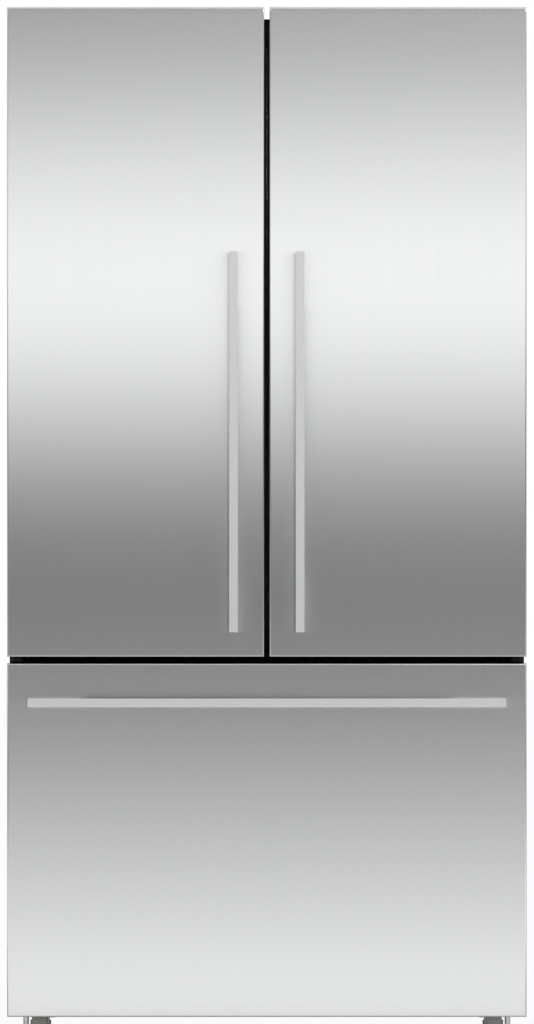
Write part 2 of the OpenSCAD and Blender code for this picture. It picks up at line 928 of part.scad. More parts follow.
module door_foam() {
    color("khaki")
        block(door_x0 + foam_in, door_x1 - foam_in, face_y + foam_in, panel_y - fit,
            door_z + cap_t + fit, top_cap_z - fit);
}

module door_panel() {
    color("whitesmoke")
        block(door_x0, door_x1, panel_y, rear_y, door_z + 2, top_cap_z);
}

// Moulded rib frame that carries the bins, screwed to the inner panel
module door_ribs() {
    y0 = rear_y + fit;
    color("whitesmoke") {
        block(rib_x0, rib_x0 + rib_w, y0, rear_y + rib_d, rib_z0, rib_z1);
        block(rib_x1 - rib_w, rib_x1, y0, rear_y + rib_d, rib_z0, rib_z1);
        block(rib_x0, rib_x1, y0, rear_y + rib_d, rib_z0, rib_z0 + rib_w);
        block(rib_x0, rib_x1, y0, rear_y + 16, rib_z1 - rib_w, rib_z1);
    }
}

module door_caps() {
    x0 = door_x0 + skin_t + fit;
    x1 = door_x1 - skin_t - fit;
    y0 = face_y + skin_t + fit + 1;
    color("dimgray")
        difference() {
            union() {
                block(x0, x1, y0, panel_y - fit, door_z, door_z + cap_t);
                block(x0, x1, y0, panel_y - fit, top_cap_z, door_top);
                block(x0, x1, panel_y - fit - 1, rear_y, top_cap_z + fit, door_top);
            }
            hinge_pocket();
            translate([pin_x, pin_y, door_z - 1])
                cylinder(r = pin_r + run, h = pin_l + 1.5);
            translate([pin_x, pin_y, pocket_z - pin_l - 0.5])
                cylinder(r = pin_r + run, h = pin_l + 2);
            for (x = [door_x0 + 60 : 60 : pin_x - 60])
                block(x, x + 40, y0 + 10, panel_y - 14, door_top - 6, door_top + 1);
        }
}

module door_seal() {
    y0 = rear_y + fit;
    color([0.12, 0.12, 0.13]) {
        difference() {
            union() {
                frame_ring(seal_x0, seal_x1, seal_z0, seal_z1, seal_w, y0, seal_y);
                block(0.3, seal_x0 + 1, y0, y0 + 1.5, seal_z0, seal_z1);
            }
            frame_ring(seal_x0 + 4, seal_x1 - 4, seal_z0 + 4, seal_z1 - 4, seal_w - 8,
                y0 + 3, y0 + 7);
        }
    }
}

// Bar of a handle along the Z axis with a post at each end
module bar_handle(l) {
    gap = handle_reach - bar_t;
    block(-bar_w / 2, bar_w / 2, -handle_reach, -gap, 0, l);
    for (z = [2, l - 2 - post_l])
        block(-bar_w / 2 + 1, bar_w / 2 - 1, -gap - 0.5, -fit, z, z + post_l);
}

module door_handle() {
    color([0.8, 0.8, 0.81])
        translate([bar_from_mid, face_y, door_z + bar_from_edge])
            bar_handle(door_bar_l);
}

// Door bin with a low front lip of its own
module door_bin(z, h) {
    tub(bin_x0, bin_x1, rear_y + fit, rear_y + bin_d, z, z + h, 8, wall);
}

module door_bins() {
    color("aliceblue", 0.6) {
        for (z = bin_zs)
            door_bin(z, bin_h);
        difference() {
            block(bin_x0, bin_x1, rear_y + fit, rear_y + bin_d - 9, dairy_z, dairy_z + dairy_h - 4);
            block(bin_x0 + wall, bin_x1 - wall, rear_y + fit + wall, rear_y + bin_d,
                dairy_z + wall, dairy_z + dairy_h);
        }
        for (x = [bin_x0, bin_x1 - 5])
            block(x, x + 5, lid_y - 5, lid_y + 5, dairy_z + dairy_h - 6, lid_z + 5);
        translate([bin_x0 + 2, lid_y, lid_z])
            rotate([0, 90, 0])
                cylinder(r = 2, h = bin_x1 - bin_x0 - 4);
    }
}

module dairy_lid() {
    x0 = bin_x0 + 5 + slip;
    x1 = bin_x1 - 5 - slip;
    y1 = rear_y + bin_d - 2;
    color("aliceblue", 0.5)
        difference() {
            union() {
                block(x0, x1, lid_y, y1, lid_z + 1, lid_z + 1 + lid_t);
                block(x0, x1, y1 - lid_t, y1, dairy_z + 6, lid_z + 1 + lid_t);
                translate([x0, lid_y, lid_z])
                    rotate([0, 90, 0])
                        cylinder(r = 3.9, h = x1 - x0);
            }
            translate([x0 - 1, lid_y, lid_z])
                rotate([0, 90, 0])
                    cylinder(r = 2 + run, h = x1 - x0 + 2);
        }
}

module mullion_flap() {
    x0 = flap_x - 11;
    color([0.1, 0.1, 0.11]) {
        difference() {
            block(x0, x0 + flap_t, flap_y - 4, flap_y - 4 + flap_w, flap_z0, flap_z1);
            for (z = [flap_z0 + 60, flap_z1 - 90])
                block(x0 - 1, x0 + flap_t + 1, flap_y - 5, flap_y + 6, z - slip, z + 30 + slip);
        }
        translate([flap_x, flap_y, flap_z0 + 40])
            cylinder(r = 2, h = flap_z1 - flap_z0 - 80);
    }
}

// Knuckles that carry the flap, screwed to the left door's inner panel
module flap_knuckles() {
    color("whitesmoke")
        for (z = [flap_z0 + 60, flap_z1 - 90])
            difference() {
                union() {
                    block(flap_x - 6, flap_x + 4, rear_y + fit, flap_y + 1, z, z + 30);
                    translate([flap_x, flap_y, z])
                        cylinder(r = 4, h = 30);
                }
                translate([flap_x, flap_y, z - 1])
                    cylinder(r = 2 + run, h = 32);
            }
}

module left_door_skin() {
    mirror([1, 0, 0])
        door_skin();
}

module left_door_foam() {
    mirror([1, 0, 0])
        door_foam();
}

module left_door_panel() {
    mirror([1, 0, 0])
        door_panel();
}

module left_door_ribs() {
    mirror([1, 0, 0])
        door_ribs();
}

module left_door_caps() {
    mirror([1, 0, 0])
        door_caps();
}

module left_door_seal() {
    mirror([1, 0, 0])
        door_seal();
}

module left_door_handle() {
    mirror([1, 0, 0])
        door_handle();
}

module left_door_bins() {
    color("aliceblue", 0.6)
        mirror([1, 0, 0])
            for (z = concat(bin_zs, [dairy_z]))
                door_bin(z, bin_h);
}

module right_door_skin() {
    door_skin();
}

module right_door_foam() {
    door_foam();
}

module right_door_panel() {
    door_panel();
}

module right_door_ribs() {
    door_ribs();
}

module right_door_caps() {
    door_caps();
}

module right_door_seal() {
    door_seal();
}

module right_door_handle() {
    door_handle();
}

module right_door_bins() {
    door_bins();
}

module drawer_skin() {
    color([0.74, 0.75, 0.76])
        folded_skin(-face_w / 2, face_w / 2, drawer_z, drawer_top);
}

module drawer_foam() {
    color("khaki")
        block(-face_w / 2 + foam_in, face_w / 2 - foam_in, face_y + foam_in, panel_y - fit,
            drawer_z + cap_t + fit, drawer_top - cap_t - fit);
}

module drawer_panel() {
    x = face_w / 2;
    color("whitesmoke") {
        block(-x, x, panel_y, rear_y, drawer_z + 1, drawer_top - 1);
        block(-x + foam_in, x - foam_in, face_y + foam_in, panel_y + 0.5,
            drawer_z + 1, drawer_z + cap_t);
        block(-x + foam_in, x - foam_in, face_y + foam_in, panel_y + 0.5,
            drawer_top - cap_t, drawer_top - 1);
        frame_ring(-basket_x + 4, basket_x - 4, freezer_z + 20, freezer_top - 20, 20,
            rear_y - 0.5, rear_y + 16);
    }
}

module drawer_seal() {
    x = seal_x1;
    z0 = freezer_z - 31;
    z1 = freezer_top + 21;
    y0 = rear_y + fit;
    color([0.12, 0.12, 0.13])
        difference() {
            frame_ring(-x, x, z0, z1, seal_w, y0, seal_y);
            frame_ring(-x + 4, x - 4, z0 + 4, z1 - 4, seal_w - 8, y0 + 3, y0 + 7);
        }
}

module drawer_handle() {
    color([0.8, 0.8, 0.81])
        translate([-drawer_bar_l / 2, face_y, drawer_top - bar_from_top])
            rotate([0, 90, 0])
                bar_handle(drawer_bar_l);
}

module freezer_basket() {
    x = basket_x;
    side = rail_x - 15.6;
    color("aliceblue", 0.6) {
        tub(-x, x, basket_y0, basket_y0 + basket_d, basket_z0, lip_z + 12, 14, wall);
        both()
            difference() {
                block(x - 0.5, side, basket_y0 + 14, rail_y0 + rail_l, lip_z, lip_z + 12);
                block(x + runner_t, side + 1, basket_y0 + 13, rail_y0 + rail_l + 1, lip_z + 3,
                    lip_z + 9);
            }
        both()
            block(x - 4, x + 0.5, basket_y0 + 14, rail_y0 + rail_l, lip_z + 2, lip_z + 12);
    }
}

module freezer_tray() {
    x = basket_x - 7;
    color("aliceblue", 0.6)
        tub(-x, x, tray_y0, tray_y0 + tray_d, tray_z0, tray_z0 + tray_h, 5, wall);
}

// Nylon strips beside the tray, which slide on the basket's rim
module tray_glides() {
    x = basket_x - 7;
    color("ivory")
        both()
            block(x + fit / 2, x + 10, tray_y0 + 12, tray_y0 + tray_d - 12, tray_z0, tray_z0 + 3);
}

// Roller with its bore, drawn about the X axis
module roller(x, y, z) {
    color([0.15, 0.15, 0.16])
        translate([x - roller_w / 2, y, z])
            rotate([0, 90, 0])
                difference() {
                    cylinder(r = roller_r, h = roller_w, $fn = 72);
                    translate([0, 0, -1])
                        cylinder(r = axle_r + run, h = roller_w + 2);
                }
}

module front_left_roller() {
    roller(-roller_x, front_roller_y, roller_r + front_lift);
}

module front_right_roller() {
    roller(roller_x, front_roller_y, roller_r + front_lift);
}

module rear_left_roller() {
    roller(-roller_x, rear_roller_y, roller_r);
}

module rear_right_roller() {
    roller(roller_x, rear_roller_y, roller_r);
}

module levelling_foot(x) {
    color("silver")
        translate([x, foot_y, 0]) {
            cylinder(r = foot_r, h = 7);
            cylinder(r = foot_r * 0.62, h = 16, $fn = 6);
            cylinder(r = screw_r, h = base_z + base_t - 0.5);
        }
}

module left_levelling_foot() {
    levelling_foot(-foot_x);
}

module right_levelling_foot() {
    levelling_foot(foot_x);
}

cabinet_wrapper();
rear_panel();
base_pan();
cabinet_foam();
fridge_liner();
freezer_liner();
front_frame();
top_hinges();
centre_hinges();
hinge_covers();
duct_panel();
ceiling_light();
shelf_frames();
glass_shelves();
evaporator_cover();
evaporator();
fan_motors();
compressor();
condenser();
drip_tray();
machine_cover();
power_inlet();
fixed_rails();
evaporator_fan();
condenser_fan();
front_left_roller();
front_right_roller();
rear_left_roller();
rear_right_roller();
left_levelling_foot();
right_levelling_foot();
middle_rails();
left_crisper();
right_crisper();
left_humidity_slider();
right_humidity_slider();
left_door_skin();
left_door_foam();
left_door_panel();
left_door_ribs();
left_door_caps();
left_door_seal();
left_door_handle();
left_door_bins();
flap_knuckles();
mullion_flap();
right_door_skin();
right_door_foam();
right_door_panel();
right_door_ribs();
right_door_caps();
right_door_seal();
right_door_handle();
right_door_bins();
dairy_lid();
drawer_skin();
drawer_foam();
drawer_panel();
drawer_seal();
drawer_handle();
moving_rails();
freezer_basket();
freezer_tray();
tray_glides();
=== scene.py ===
import math
import bmesh
import bpy
from mathutils import Matrix, Vector


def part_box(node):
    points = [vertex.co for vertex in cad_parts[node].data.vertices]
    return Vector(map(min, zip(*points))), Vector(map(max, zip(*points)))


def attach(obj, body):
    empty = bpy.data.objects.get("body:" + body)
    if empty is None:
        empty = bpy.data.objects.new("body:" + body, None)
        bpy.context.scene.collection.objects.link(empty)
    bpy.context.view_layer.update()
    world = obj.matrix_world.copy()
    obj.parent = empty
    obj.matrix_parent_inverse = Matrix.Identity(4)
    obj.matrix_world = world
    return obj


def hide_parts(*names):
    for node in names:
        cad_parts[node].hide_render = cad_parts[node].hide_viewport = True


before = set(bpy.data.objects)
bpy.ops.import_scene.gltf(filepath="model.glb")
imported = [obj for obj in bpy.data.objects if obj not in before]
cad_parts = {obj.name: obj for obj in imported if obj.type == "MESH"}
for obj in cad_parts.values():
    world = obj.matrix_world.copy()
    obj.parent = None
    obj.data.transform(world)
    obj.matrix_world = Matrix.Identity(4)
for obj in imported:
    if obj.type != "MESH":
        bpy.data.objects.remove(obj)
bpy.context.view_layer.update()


# Outer wrapper of the cabinet. One sheet of steel, painted before it is folded, goes over the top
# and down both sides. Foam poured behind it holds it to the liners.

def put_down():
    """Leaves edit mode and selects nothing, ready for the next primitive."""
    if bpy.context.mode != "OBJECT":
        bpy.ops.object.mode_set(mode="OBJECT")
    bpy.ops.object.select_all(action="DESELECT")


def settle(name):
    """Names the new primitive and takes its place, turn and size into its mesh."""
    bpy.ops.object.transform_apply(location=True, rotation=True, scale=True)
    piece = bpy.context.object
    piece.name = name
    return piece


def block(name, low, high):
    """Adds a block between two corners and leaves it in edit mode, all selected."""
    put_down()
    bpy.ops.mesh.primitive_cube_add(
        size=1, location=[(a + b) / 2 for a, b in zip(low, high)],
        scale=[b - a for a, b in zip(low, high)])
    piece = settle(name)
    bpy.ops.object.mode_set(mode="EDIT")
    return piece


def choose(kind, test):
    """Selects each FACE, or EDGE between faces at an angle, whose middle and direction pass."""
    bpy.ops.mesh.select_mode(type=kind)
    bpy.ops.mesh.select_all(action="DESELECT")
    mesh = bmesh.from_edit_mesh(bpy.context.object.data)
    if kind == "FACE":
        for face in mesh.faces:
            face.select_set(bool(test(face.calc_center_median(), face.normal)))
    else:
        for edge in mesh.edges:
            a, b = (v.co for v in edge.verts)
            edge.select_set(edge.calc_face_angle(0) > 0.3
                            and bool(test((a + b) / 2, (b - a).normalized())))
    bmesh.update_edit_mesh(bpy.context.object.data)


def drop_faces(test):
    """Deletes the faces that pass the test."""
    choose("FACE", test)
    bpy.ops.mesh.delete(type="FACE")


def round_edges(test, radius, segments=3):
    """Rounds the edges that pass the test."""
    choose("EDGE", test)
    bpy.ops.mesh.bevel(offset=radius, segments=segments, affect="EDGES")


def pick_object(piece):
    """Leaves edit mode with one piece selected and active."""
    put_down()
    piece.select_set(True)
    bpy.context.view_layer.objects.active = piece


def modify(piece, kind, **settings):
    """Adds a modifier to a piece and applies it."""
    pick_object(piece)
    modifier = piece.modifiers.new(kind, kind)
    for name, value in settings.items():
        setattr(modifier, name, value)
    bpy.ops.object.modifier_apply(modifier=modifier.name)


def fit(piece, body, slot, finish, *nodes):
    """Gives a finished piece its shading, material and body, and hides the CAD nodes it stands for.
    """
    pick_object(piece)
    bpy.ops.object.shade_smooth_by_angle(angle=math.radians(35))
    modify(piece, "WEIGHTED_NORMAL", keep_sharp=True)
    piece.data.materials.clear()
    piece.data.materials.append(finish)
    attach(piece, body)
    if nodes:
        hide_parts(*nodes)


def tone(code):
    """Turns an sRGB hex colour to the linear values that a shader takes."""
    parts = [int(code[i:i + 2], 16) / 255 for i in (1, 3, 5)]
    return [c / 12.92 if c <= 0.04045 else ((c + 0.055) / 1.055) ** 2.4 for c in parts] + [1]


def add_node(tree, kind, links=None, values=None, **settings):
    """Adds one node with its settings, values and incoming links."""
    made = tree.nodes.new("ShaderNode" + kind)
    for name, value in settings.items():
        setattr(made, name, value)
    for name, value in (values or {}).items():
        made.inputs[name].default_value = value
    for name, source in (links or {}).items():
        tree.links.new(source, made.inputs[name])
    return made


def new_finish(name, **sockets):
    """Starts a material with its constants on the shader, and its object coordinates."""
    material = bpy.data.materials.new(name)
    material.use_nodes = True
    tree = material.node_tree
    shader = tree.nodes["Principled BSDF"]
    for key, value in sockets.items():
        shader.inputs[key.replace("_", " ")].default_value = (
            tone(value) if isinstance(value, str) else value)
    place = add_node(tree, "TexCoord").outputs["Object"]
    return material, tree, shader, place


def vary(tree, shader, source, roughness=None, colours=None, bump=None):
    """Lets a pattern drive the roughness, a blend of two colours and a bump (strength, depth)."""
    if roughness:
        span = add_node(tree, "MapRange", {"Value": source},
                        {"To Min": roughness[0], "To Max": roughness[1]})
        tree.links.new(span.outputs["Result"], shader.inputs["Roughness"])
    if colours:
        blend = add_node(tree, "ValToRGB", {"Fac": source})
        for stop, colour in zip(blend.color_ramp.elements, colours):
            stop.color = tone(colour)
        tree.links.new(blend.outputs["Color"], shader.inputs["Base Color"])
    if bump:
        relief = add_node(tree, "Bump", {"Height": source},
                          {"Strength": bump[0], "Distance": bump[1]})
        tree.links.new(relief.outputs["Normal"], shader.inputs["Normal"])


# Prepainted steel: a grey coat with a leathery grain pressed in, so that it hides finger marks.
# The grain is about 1 mm wide and breaks the sheen up softly.
painted_steel, tree, shader, place = new_finish(
    "prepainted grained steel", Base_Color="#8d8f92", Roughness=0.4)
grain = add_node(tree, "TexVoronoi", {"Vector": place}, {"Scale": 900.0}, feature="SMOOTH_F1")
cloud = add_node(tree, "TexNoise", {"Vector": place}, {"Scale": 7.0, "Detail": 3.0})
vary(tree, shader, cloud.outputs["Fac"], (0.34, 0.46), ("#898b8e", "#919396"))
vary(tree, shader, grain.outputs["Distance"], bump=(0.3, 0.0002))

sheet_t, fold_r = 0.001, 0.004
low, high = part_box("cabinet_wrapper")
wrapper = block("wrapper", low, high)
drop_faces(lambda at, out: abs(out.y) > 0.9 or out.z < -0.9)
round_edges(lambda at, along: abs(along.y) > 0.9, fold_r, 5)
modify(wrapper, "SOLIDIFY", thickness=sheet_t, offset=-1)
fit(wrapper, "cabinet", "painted_sheet", painted_steel, "cabinet_wrapper")


# Rear panel. A galvanised sheet closes the back above the machine space, with three tall fields
# pressed out against drumming. Pan-head screws hold it along its edges.

def knife(axis, *places):
    """Cuts through the whole piece, square to an axis, at each place."""
    for at in places:
        point, normal = [0, 0, 0], [0, 0, 0]
        point[axis], normal[axis] = at, 1
        bpy.ops.mesh.select_all(action="SELECT")
        bpy.ops.mesh.bisect(plane_co=point, plane_no=normal)


def push(x=0.0, y=0.0, z=0.0):
    """Extrudes the selected faces and moves them."""
    bpy.ops.mesh.extrude_region_move(TRANSFORM_OT_translate={"value": (x, y, z)})


def clean():
    """Removes the cuts that lie flat in a face."""
    bpy.ops.mesh.select_all(action="SELECT")
    bpy.ops.mesh.dissolve_limited(angle_limit=math.radians(0.5))


def gather(name, pieces):
    """Joins pieces that are moulded or riveted together into one."""
    pick_object(pieces[0])
    for piece in pieces[1:]:
        piece.select_set(True)
    bpy.ops.object.join()
    pieces[0].name = name
    return pieces[0]


# Hot-dip galvanised steel: zinc that froze in flat crystals, 5 to 15 mm wide, each of which
# reflects a little differently.
galvanised, tree, shader, place = new_finish(
    "hot-dip galvanised steel", Base_Color="#b3b6b8", Metallic=1.0, Roughness=0.4)
wobble = add_node(tree, "TexNoise", {"Vector": place}, {"Scale": 60.0, "Detail": 2.0})
bent = add_node(tree, "VectorMath", {0: wobble.outputs["Color"], 2: place},
                {1: (0.008, 0.008, 0.008)}, operation="MULTIPLY_ADD")
crystals = add_node(tree, "TexVoronoi", {"Vector": bent.outputs["Vector"]}, {"Scale": 95.0})
level = add_node(tree, "SeparateXYZ", {"Vector": crystals.outputs["Color"]})
vary(tree, shader, level.outputs["X"], (0.34, 0.5), ("#a9acae", "#bdc0c2"))

low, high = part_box("rear_panel")
proud = 0.0009
panel = block("rear_sheet", low, (high.x, high.y - proud, high.z))
fields = [low.x + 0.05, low.x + 0.31, low.x + 0.335, high.x - 0.335, high.x - 0.31, high.x - 0.05]
field_low, field_high = low.z + 0.06, high.z - 0.06
knife(0, *fields)
knife(2, field_low, field_high)
for left, right in zip(fields[::2], fields[1::2]):
    choose("FACE", lambda at, out: out.y > 0.9 and left < at.x < right
           and field_low < at.z < field_high)
    bpy.ops.mesh.inset(thickness=0.008, depth=proud)
clean()
fit(panel, "cabinet", "galvanised_steel", galvanised, "rear_panel")

heads = []
edge, head_r = 0.012, 0.0042
for x in (low.x + edge, -0.15, 0.15, high.x - edge):
    levels = [low.z + edge, high.z - edge]
    if abs(x) > 0.2:
        levels += [low.z + 0.5, low.z + 1.0]
    for z in levels:
        put_down()
        bpy.ops.mesh.primitive_cylinder_add(
            vertices=20, radius=head_r, depth=proud, location=(x, high.y - proud / 2, z),
            rotation=(math.pi / 2, 0, 0))
        heads.append(settle("head"))
        bpy.ops.object.mode_set(mode="EDIT")
        choose("FACE", lambda at, out: out.y > 0.9)
        bpy.ops.mesh.inset(thickness=0.0008)
        bpy.ops.mesh.inset(thickness=0.0014, depth=-0.0006)
fit(gather("rear_screws", heads), "cabinet", "galvanised_steel", galvanised)


# Base pan. A pressed and galvanised tray carries the cabinet. It rises behind into the step over
# the compressor, and holds the roller ears, the foot bosses and the holes for an anti-tip bracket.

def copy_of(node, name):
    """A copy of a CAD node in edit mode, its loose triangles merged into whole faces."""
    piece = bpy.data.objects.new(name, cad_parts[node].data.copy())
    bpy.context.scene.collection.objects.link(piece)
    pick_object(piece)
    if piece.data.has_custom_normals:
        bpy.ops.mesh.customdata_custom_splitnormals_clear()
    bpy.ops.object.mode_set(mode="EDIT")
    bpy.ops.mesh.select_all(action="SELECT")
    bpy.ops.mesh.remove_doubles(threshold=0.00001)
    clean()
    return piece


def soften(piece, radius, segments=2):
    """Breaks every sharp edge of a piece."""
    modify(piece, "BEVEL", width=radius, segments=segments, limit_method="ANGLE",
           angle_limit=math.radians(35))


def kept_shape(node, body, slot, finish, radius, segments=2):
    """A piece whose CAD shape is right: merged, with its edges broken as the real ones are."""
    piece = copy_of(node, node.replace("_", "-"))
    soften(piece, radius, segments)
    fit(piece, body, slot, finish, node)


kept_shape("base_pan", "cabinet", "galvanised_steel", galvanised, 0.0006)


# Foam in the cabinet's walls, the doors and the drawer front. Rigid polyurethane is poured in and
# sticks the skins to the liners, so the CAD solids stay and only get their finish.

# Rigid foam: closed cells of about 0.4 mm, drawn at 2 mm so that they show, in pale yellow.
foam, tree, shader, place = new_finish("rigid polyurethane foam", Base_Color="#e2d3a0",
                                       Roughness=0.9)
cells = add_node(tree, "TexVoronoi", {"Vector": place}, {"Scale": 500.0})
vary(tree, shader, cells.outputs["Distance"], None, ("#e8dbac", "#cdbb84"), (0.6, 0.001))
for node in ("cabinet_foam", "left_door_foam", "right_door_foam", "drawer_foam"):
    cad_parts[node].data.materials.clear()
    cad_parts[node].data.materials.append(foam)


# Liner of the fridge compartment. White polystyrene sheet is drawn down into one tub with round
# corners. Ledges for the shelves and two rails for each crisper are formed in the same piece.

# High-impact polystyrene: white, slightly waxy, with the faint waves that vacuum forming leaves
# about 30 mm apart.
white_liner, tree, shader, place = new_finish(
    "vacuum-formed white polystyrene", Base_Color="#e9ecee", Roughness=0.3, IOR=1.59,
    Subsurface_Weight=0.05, Subsurface_Radius=(0.004, 0.004, 0.004))
waves = add_node(tree, "TexNoise", {"Vector": place}, {"Scale": 32.0, "Detail": 2.0})
vary(tree, shader, waves.outputs["Fac"], (0.25, 0.36), ("#e6e9eb", "#eceff0"), (0.12, 0.0008))

liner_t = 0.002
low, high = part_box("fridge_liner")
inner_low = low + Vector((liner_t, 0, liner_t))
inner_high = high - Vector((liner_t, liner_t, liner_t))
tub = block("fridge_tub", inner_low, inner_high)
drop_faces(lambda at, out: out.y < -0.9)
round_edges(lambda at, along: True, 0.014, 4)
modify(tub, "SOLIDIFY", thickness=liner_t, offset=1)
moulded = [tub]
shelf_low, shelf_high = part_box("shelf_frames")
frame_h, shelf_pitch = 0.012, 0.19
ledge_w, ledge_h, rail_w, rail_h = 0.009, 0.0067, 0.006, 0.0037
sunk = 0.0005
tops = [shelf_low.z + frame_h - 0.002]
tops += [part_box("glass_shelves")[1].z - shelf_pitch * step for step in range(3)]
for top in tops:
    for sign in (-1, 1):
        near, far = sorted((sign * (inner_high.x - ledge_w), sign * (inner_high.x + sunk)))
        under = top - frame_h + 0.0017
        ledge = block("ledge", (near, shelf_low.y + 0.002, under - ledge_h),
                      (far, shelf_high.y - 0.004, under))
        round_edges(lambda at, along: abs(at.x) < inner_high.x - 0.001, 0.002, 3)
        moulded.append(ledge)
for x in (0.024, 0.36):
    for sign in (-1, 1):
        near, far = sorted((sign * x, sign * (x + rail_w)))
        rail = block("rail", (near, shelf_low.y + 0.02, inner_low.z - sunk),
                     (far, shelf_high.y - 0.075, inner_low.z + rail_h))
        round_edges(lambda at, along: at.z > inner_low.z, 0.0015, 3)
        moulded.append(rail)
fit(gather("fridge_tub", moulded), "cabinet", "white_liner", white_liner, "fridge_liner")


# Liner of the freezer compartment. The same white sheet, drawn down with a step at the back that
# clears the compressor.

low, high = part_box("freezer_liner")
step_y, step_z = 0.096, 0.304
tub = block("freezer_tub", (low.x + liner_t, low.y, low.z + liner_t),
            (high.x - liner_t, step_y, high.z - liner_t))
knife(2, step_z)
choose("FACE", lambda at, out: out.y > 0.9 and at.z > step_z)
push(y=high.y - liner_t - step_y)
clean()
drop_faces(lambda at, out: out.y < -0.9)
round_edges(lambda at, along: True, 0.012, 4)
modify(tub, "SOLIDIFY", thickness=liner_t, offset=1)
fit(tub, "cabinet", "white_liner", white_liner, "freezer_liner")


# Front frame. Black painted steel joins the wrapper to both liners, and the seals' magnets hold
# to it. Together with the shade in the gap, it makes the dark line between the fronts.

# Black powder coat: an even satin black with a fine orange peel, about 1.5 mm wide.
black_steel, tree, shader, place = new_finish(
    "black powder-coated steel", Base_Color="#0b0c0c", Roughness=0.6, Specular_IOR_Level=0.3)
peel = add_node(tree, "TexNoise", {"Vector": place}, {"Scale": 650.0, "Detail": 1.0})
vary(tree, shader, peel.outputs["Fac"], (0.55, 0.65), None, (0.15, 0.0002))
kept_shape("front_frame", "cabinet", "black_steel", black_steel, 0.0004)


# Hinges. Steel plates 4 mm thick with pressed-in pins: two on top of the cabinet, which the doors
# hang from, and two in the gap between the doors and the drawer, which carry their weight.

kept_shape("top_hinges", "cabinet", "black_steel", black_steel, 0.0005)
kept_shape("centre_hinges", "cabinet", "black_steel", black_steel, 0.0005)


# Hinge covers. Two moulded lids clip over the hinge plates on the cabinet's top. Each is a thin
# shell with round corners, open below, and notched in front for the hinge arm.

# Acrylonitrile butadiene styrene: mid grey, from a spark-eroded mould, which leaves a fine even
# grit of about 0.7 mm.
grey_plastic, tree, shader, place = new_finish("moulded grey ABS", Base_Color="#6d6f71",
                                               Roughness=0.5)
grit = add_node(tree, "TexNoise", {"Vector": place}, {"Scale": 1400.0, "Detail": 1.0})
vary(tree, shader, grit.outputs["Fac"], (0.44, 0.56), ("#696b6d", "#717375"), (0.2, 0.0001))


def carve(piece, cutter):
    """Cuts one shape out of another."""
    modify(piece, "BOOLEAN", operation="DIFFERENCE", object=cutter, solver="EXACT")
    bpy.data.objects.remove(cutter)


low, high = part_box("hinge_covers")
inner_x, arm_x, arm_half = 0.352, 0.432, 0.013
covers = []
for sign in (-1, 1):
    near, far = sorted((sign * inner_x, sign * high.x))
    cover = block("cover", (near, low.y, low.z), (far, high.y, high.z))
    drop_faces(lambda at, out: out.z < -0.9)
    round_edges(lambda at, along: abs(along.z) > 0.9, 0.007, 4)
    round_edges(lambda at, along: at.z > high.z - 0.0001, 0.003, 3)
    modify(cover, "SOLIDIFY", thickness=0.002, offset=-1)
    notch = block("notch", (sign * arm_x - arm_half, low.y - 0.001, low.z - 0.001),
                  (sign * arm_x + arm_half, low.y + 0.003, low.z + 0.005))
    carve(cover, notch)
    covers.append(cover)
fit(gather("hinge_lids", covers), "cabinet", "grey_plastic", grey_plastic, "hinge_covers")


# Air duct panel and ceiling light of the fridge compartment. The panel is white and moulded, with
# slots that blow air over each shelf. An opal lens lies in a white bezel under the ceiling. The
# bezel reaches lower at its front, so that the lens shines back and dazzles nobody.

# Injection-moulded white polystyrene: harder and more even than the drawn liner, with a grit of
# about 1 mm.
white_plastic, tree, shader, place = new_finish(
    "moulded white polystyrene", Base_Color="#eceeef", Roughness=0.35, IOR=1.59)
grit = add_node(tree, "TexNoise", {"Vector": place}, {"Scale": 900.0, "Detail": 1.0})
vary(tree, shader, grit.outputs["Fac"], (0.3, 0.4), ("#e9ebec", "#eff1f2"), (0.1, 0.0001))
kept_shape("duct_panel", "cabinet", "white_liner", white_plastic, 0.0015, 3)

# Opal acrylic: milky and smooth, in clouds about 25 mm wide. Its lamps are on, as they are while
# a door is open, and light it evenly from behind.
opal, tree, shader, place = new_finish(
    "opal acrylic", Base_Color="#f6f7f4", Roughness=0.22, IOR=1.49,
    Subsurface_Weight=0.4, Subsurface_Radius=(0.01, 0.01, 0.01),
    Emission_Color="#fff8ea", Emission_Strength=7.0)
milk = add_node(tree, "TexNoise", {"Vector": place}, {"Scale": 40.0, "Detail": 1.0})
vary(tree, shader, milk.outputs["Fac"], (0.18, 0.26))

corner, slope, inside = 0.012, 0.061, 0.0024
low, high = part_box("ceiling_light")
bezel = block("ceiling_light_bezel", low, high)
drop_faces(lambda at, out: out.z < -0.9)
round_edges(lambda at, along: abs(along.z) > 0.9, corner, 6)
bpy.ops.mesh.select_all(action="SELECT")
bpy.ops.mesh.bisect(plane_co=low, plane_no=(0, -slope, 1), clear_inner=True)
modify(bezel, "SOLIDIFY", thickness=0.0025, offset=-1)
fit(bezel, "cabinet", "light_lens", white_plastic, "ceiling_light")
lens = block("ceiling_light_lens", (low.x + inside, low.y + inside, low.z + 0.006),
             (high.x - inside, high.y - inside, low.z + 0.0074))
round_edges(lambda at, along: abs(along.z) > 0.9, corner - inside, 6)
fit(lens, "cabinet", "light_lens", opal, "ceiling_light")


# Shelves. Toughened glass plates lie in moulded frames, whose outer edges slide on the liner's
# ledges. The lowest plate covers the crispers, and its frame holds their humidity sliders.

kept_shape("shelf_frames", "cabinet", "grey_plastic", white_plastic, 0.0015, 3)

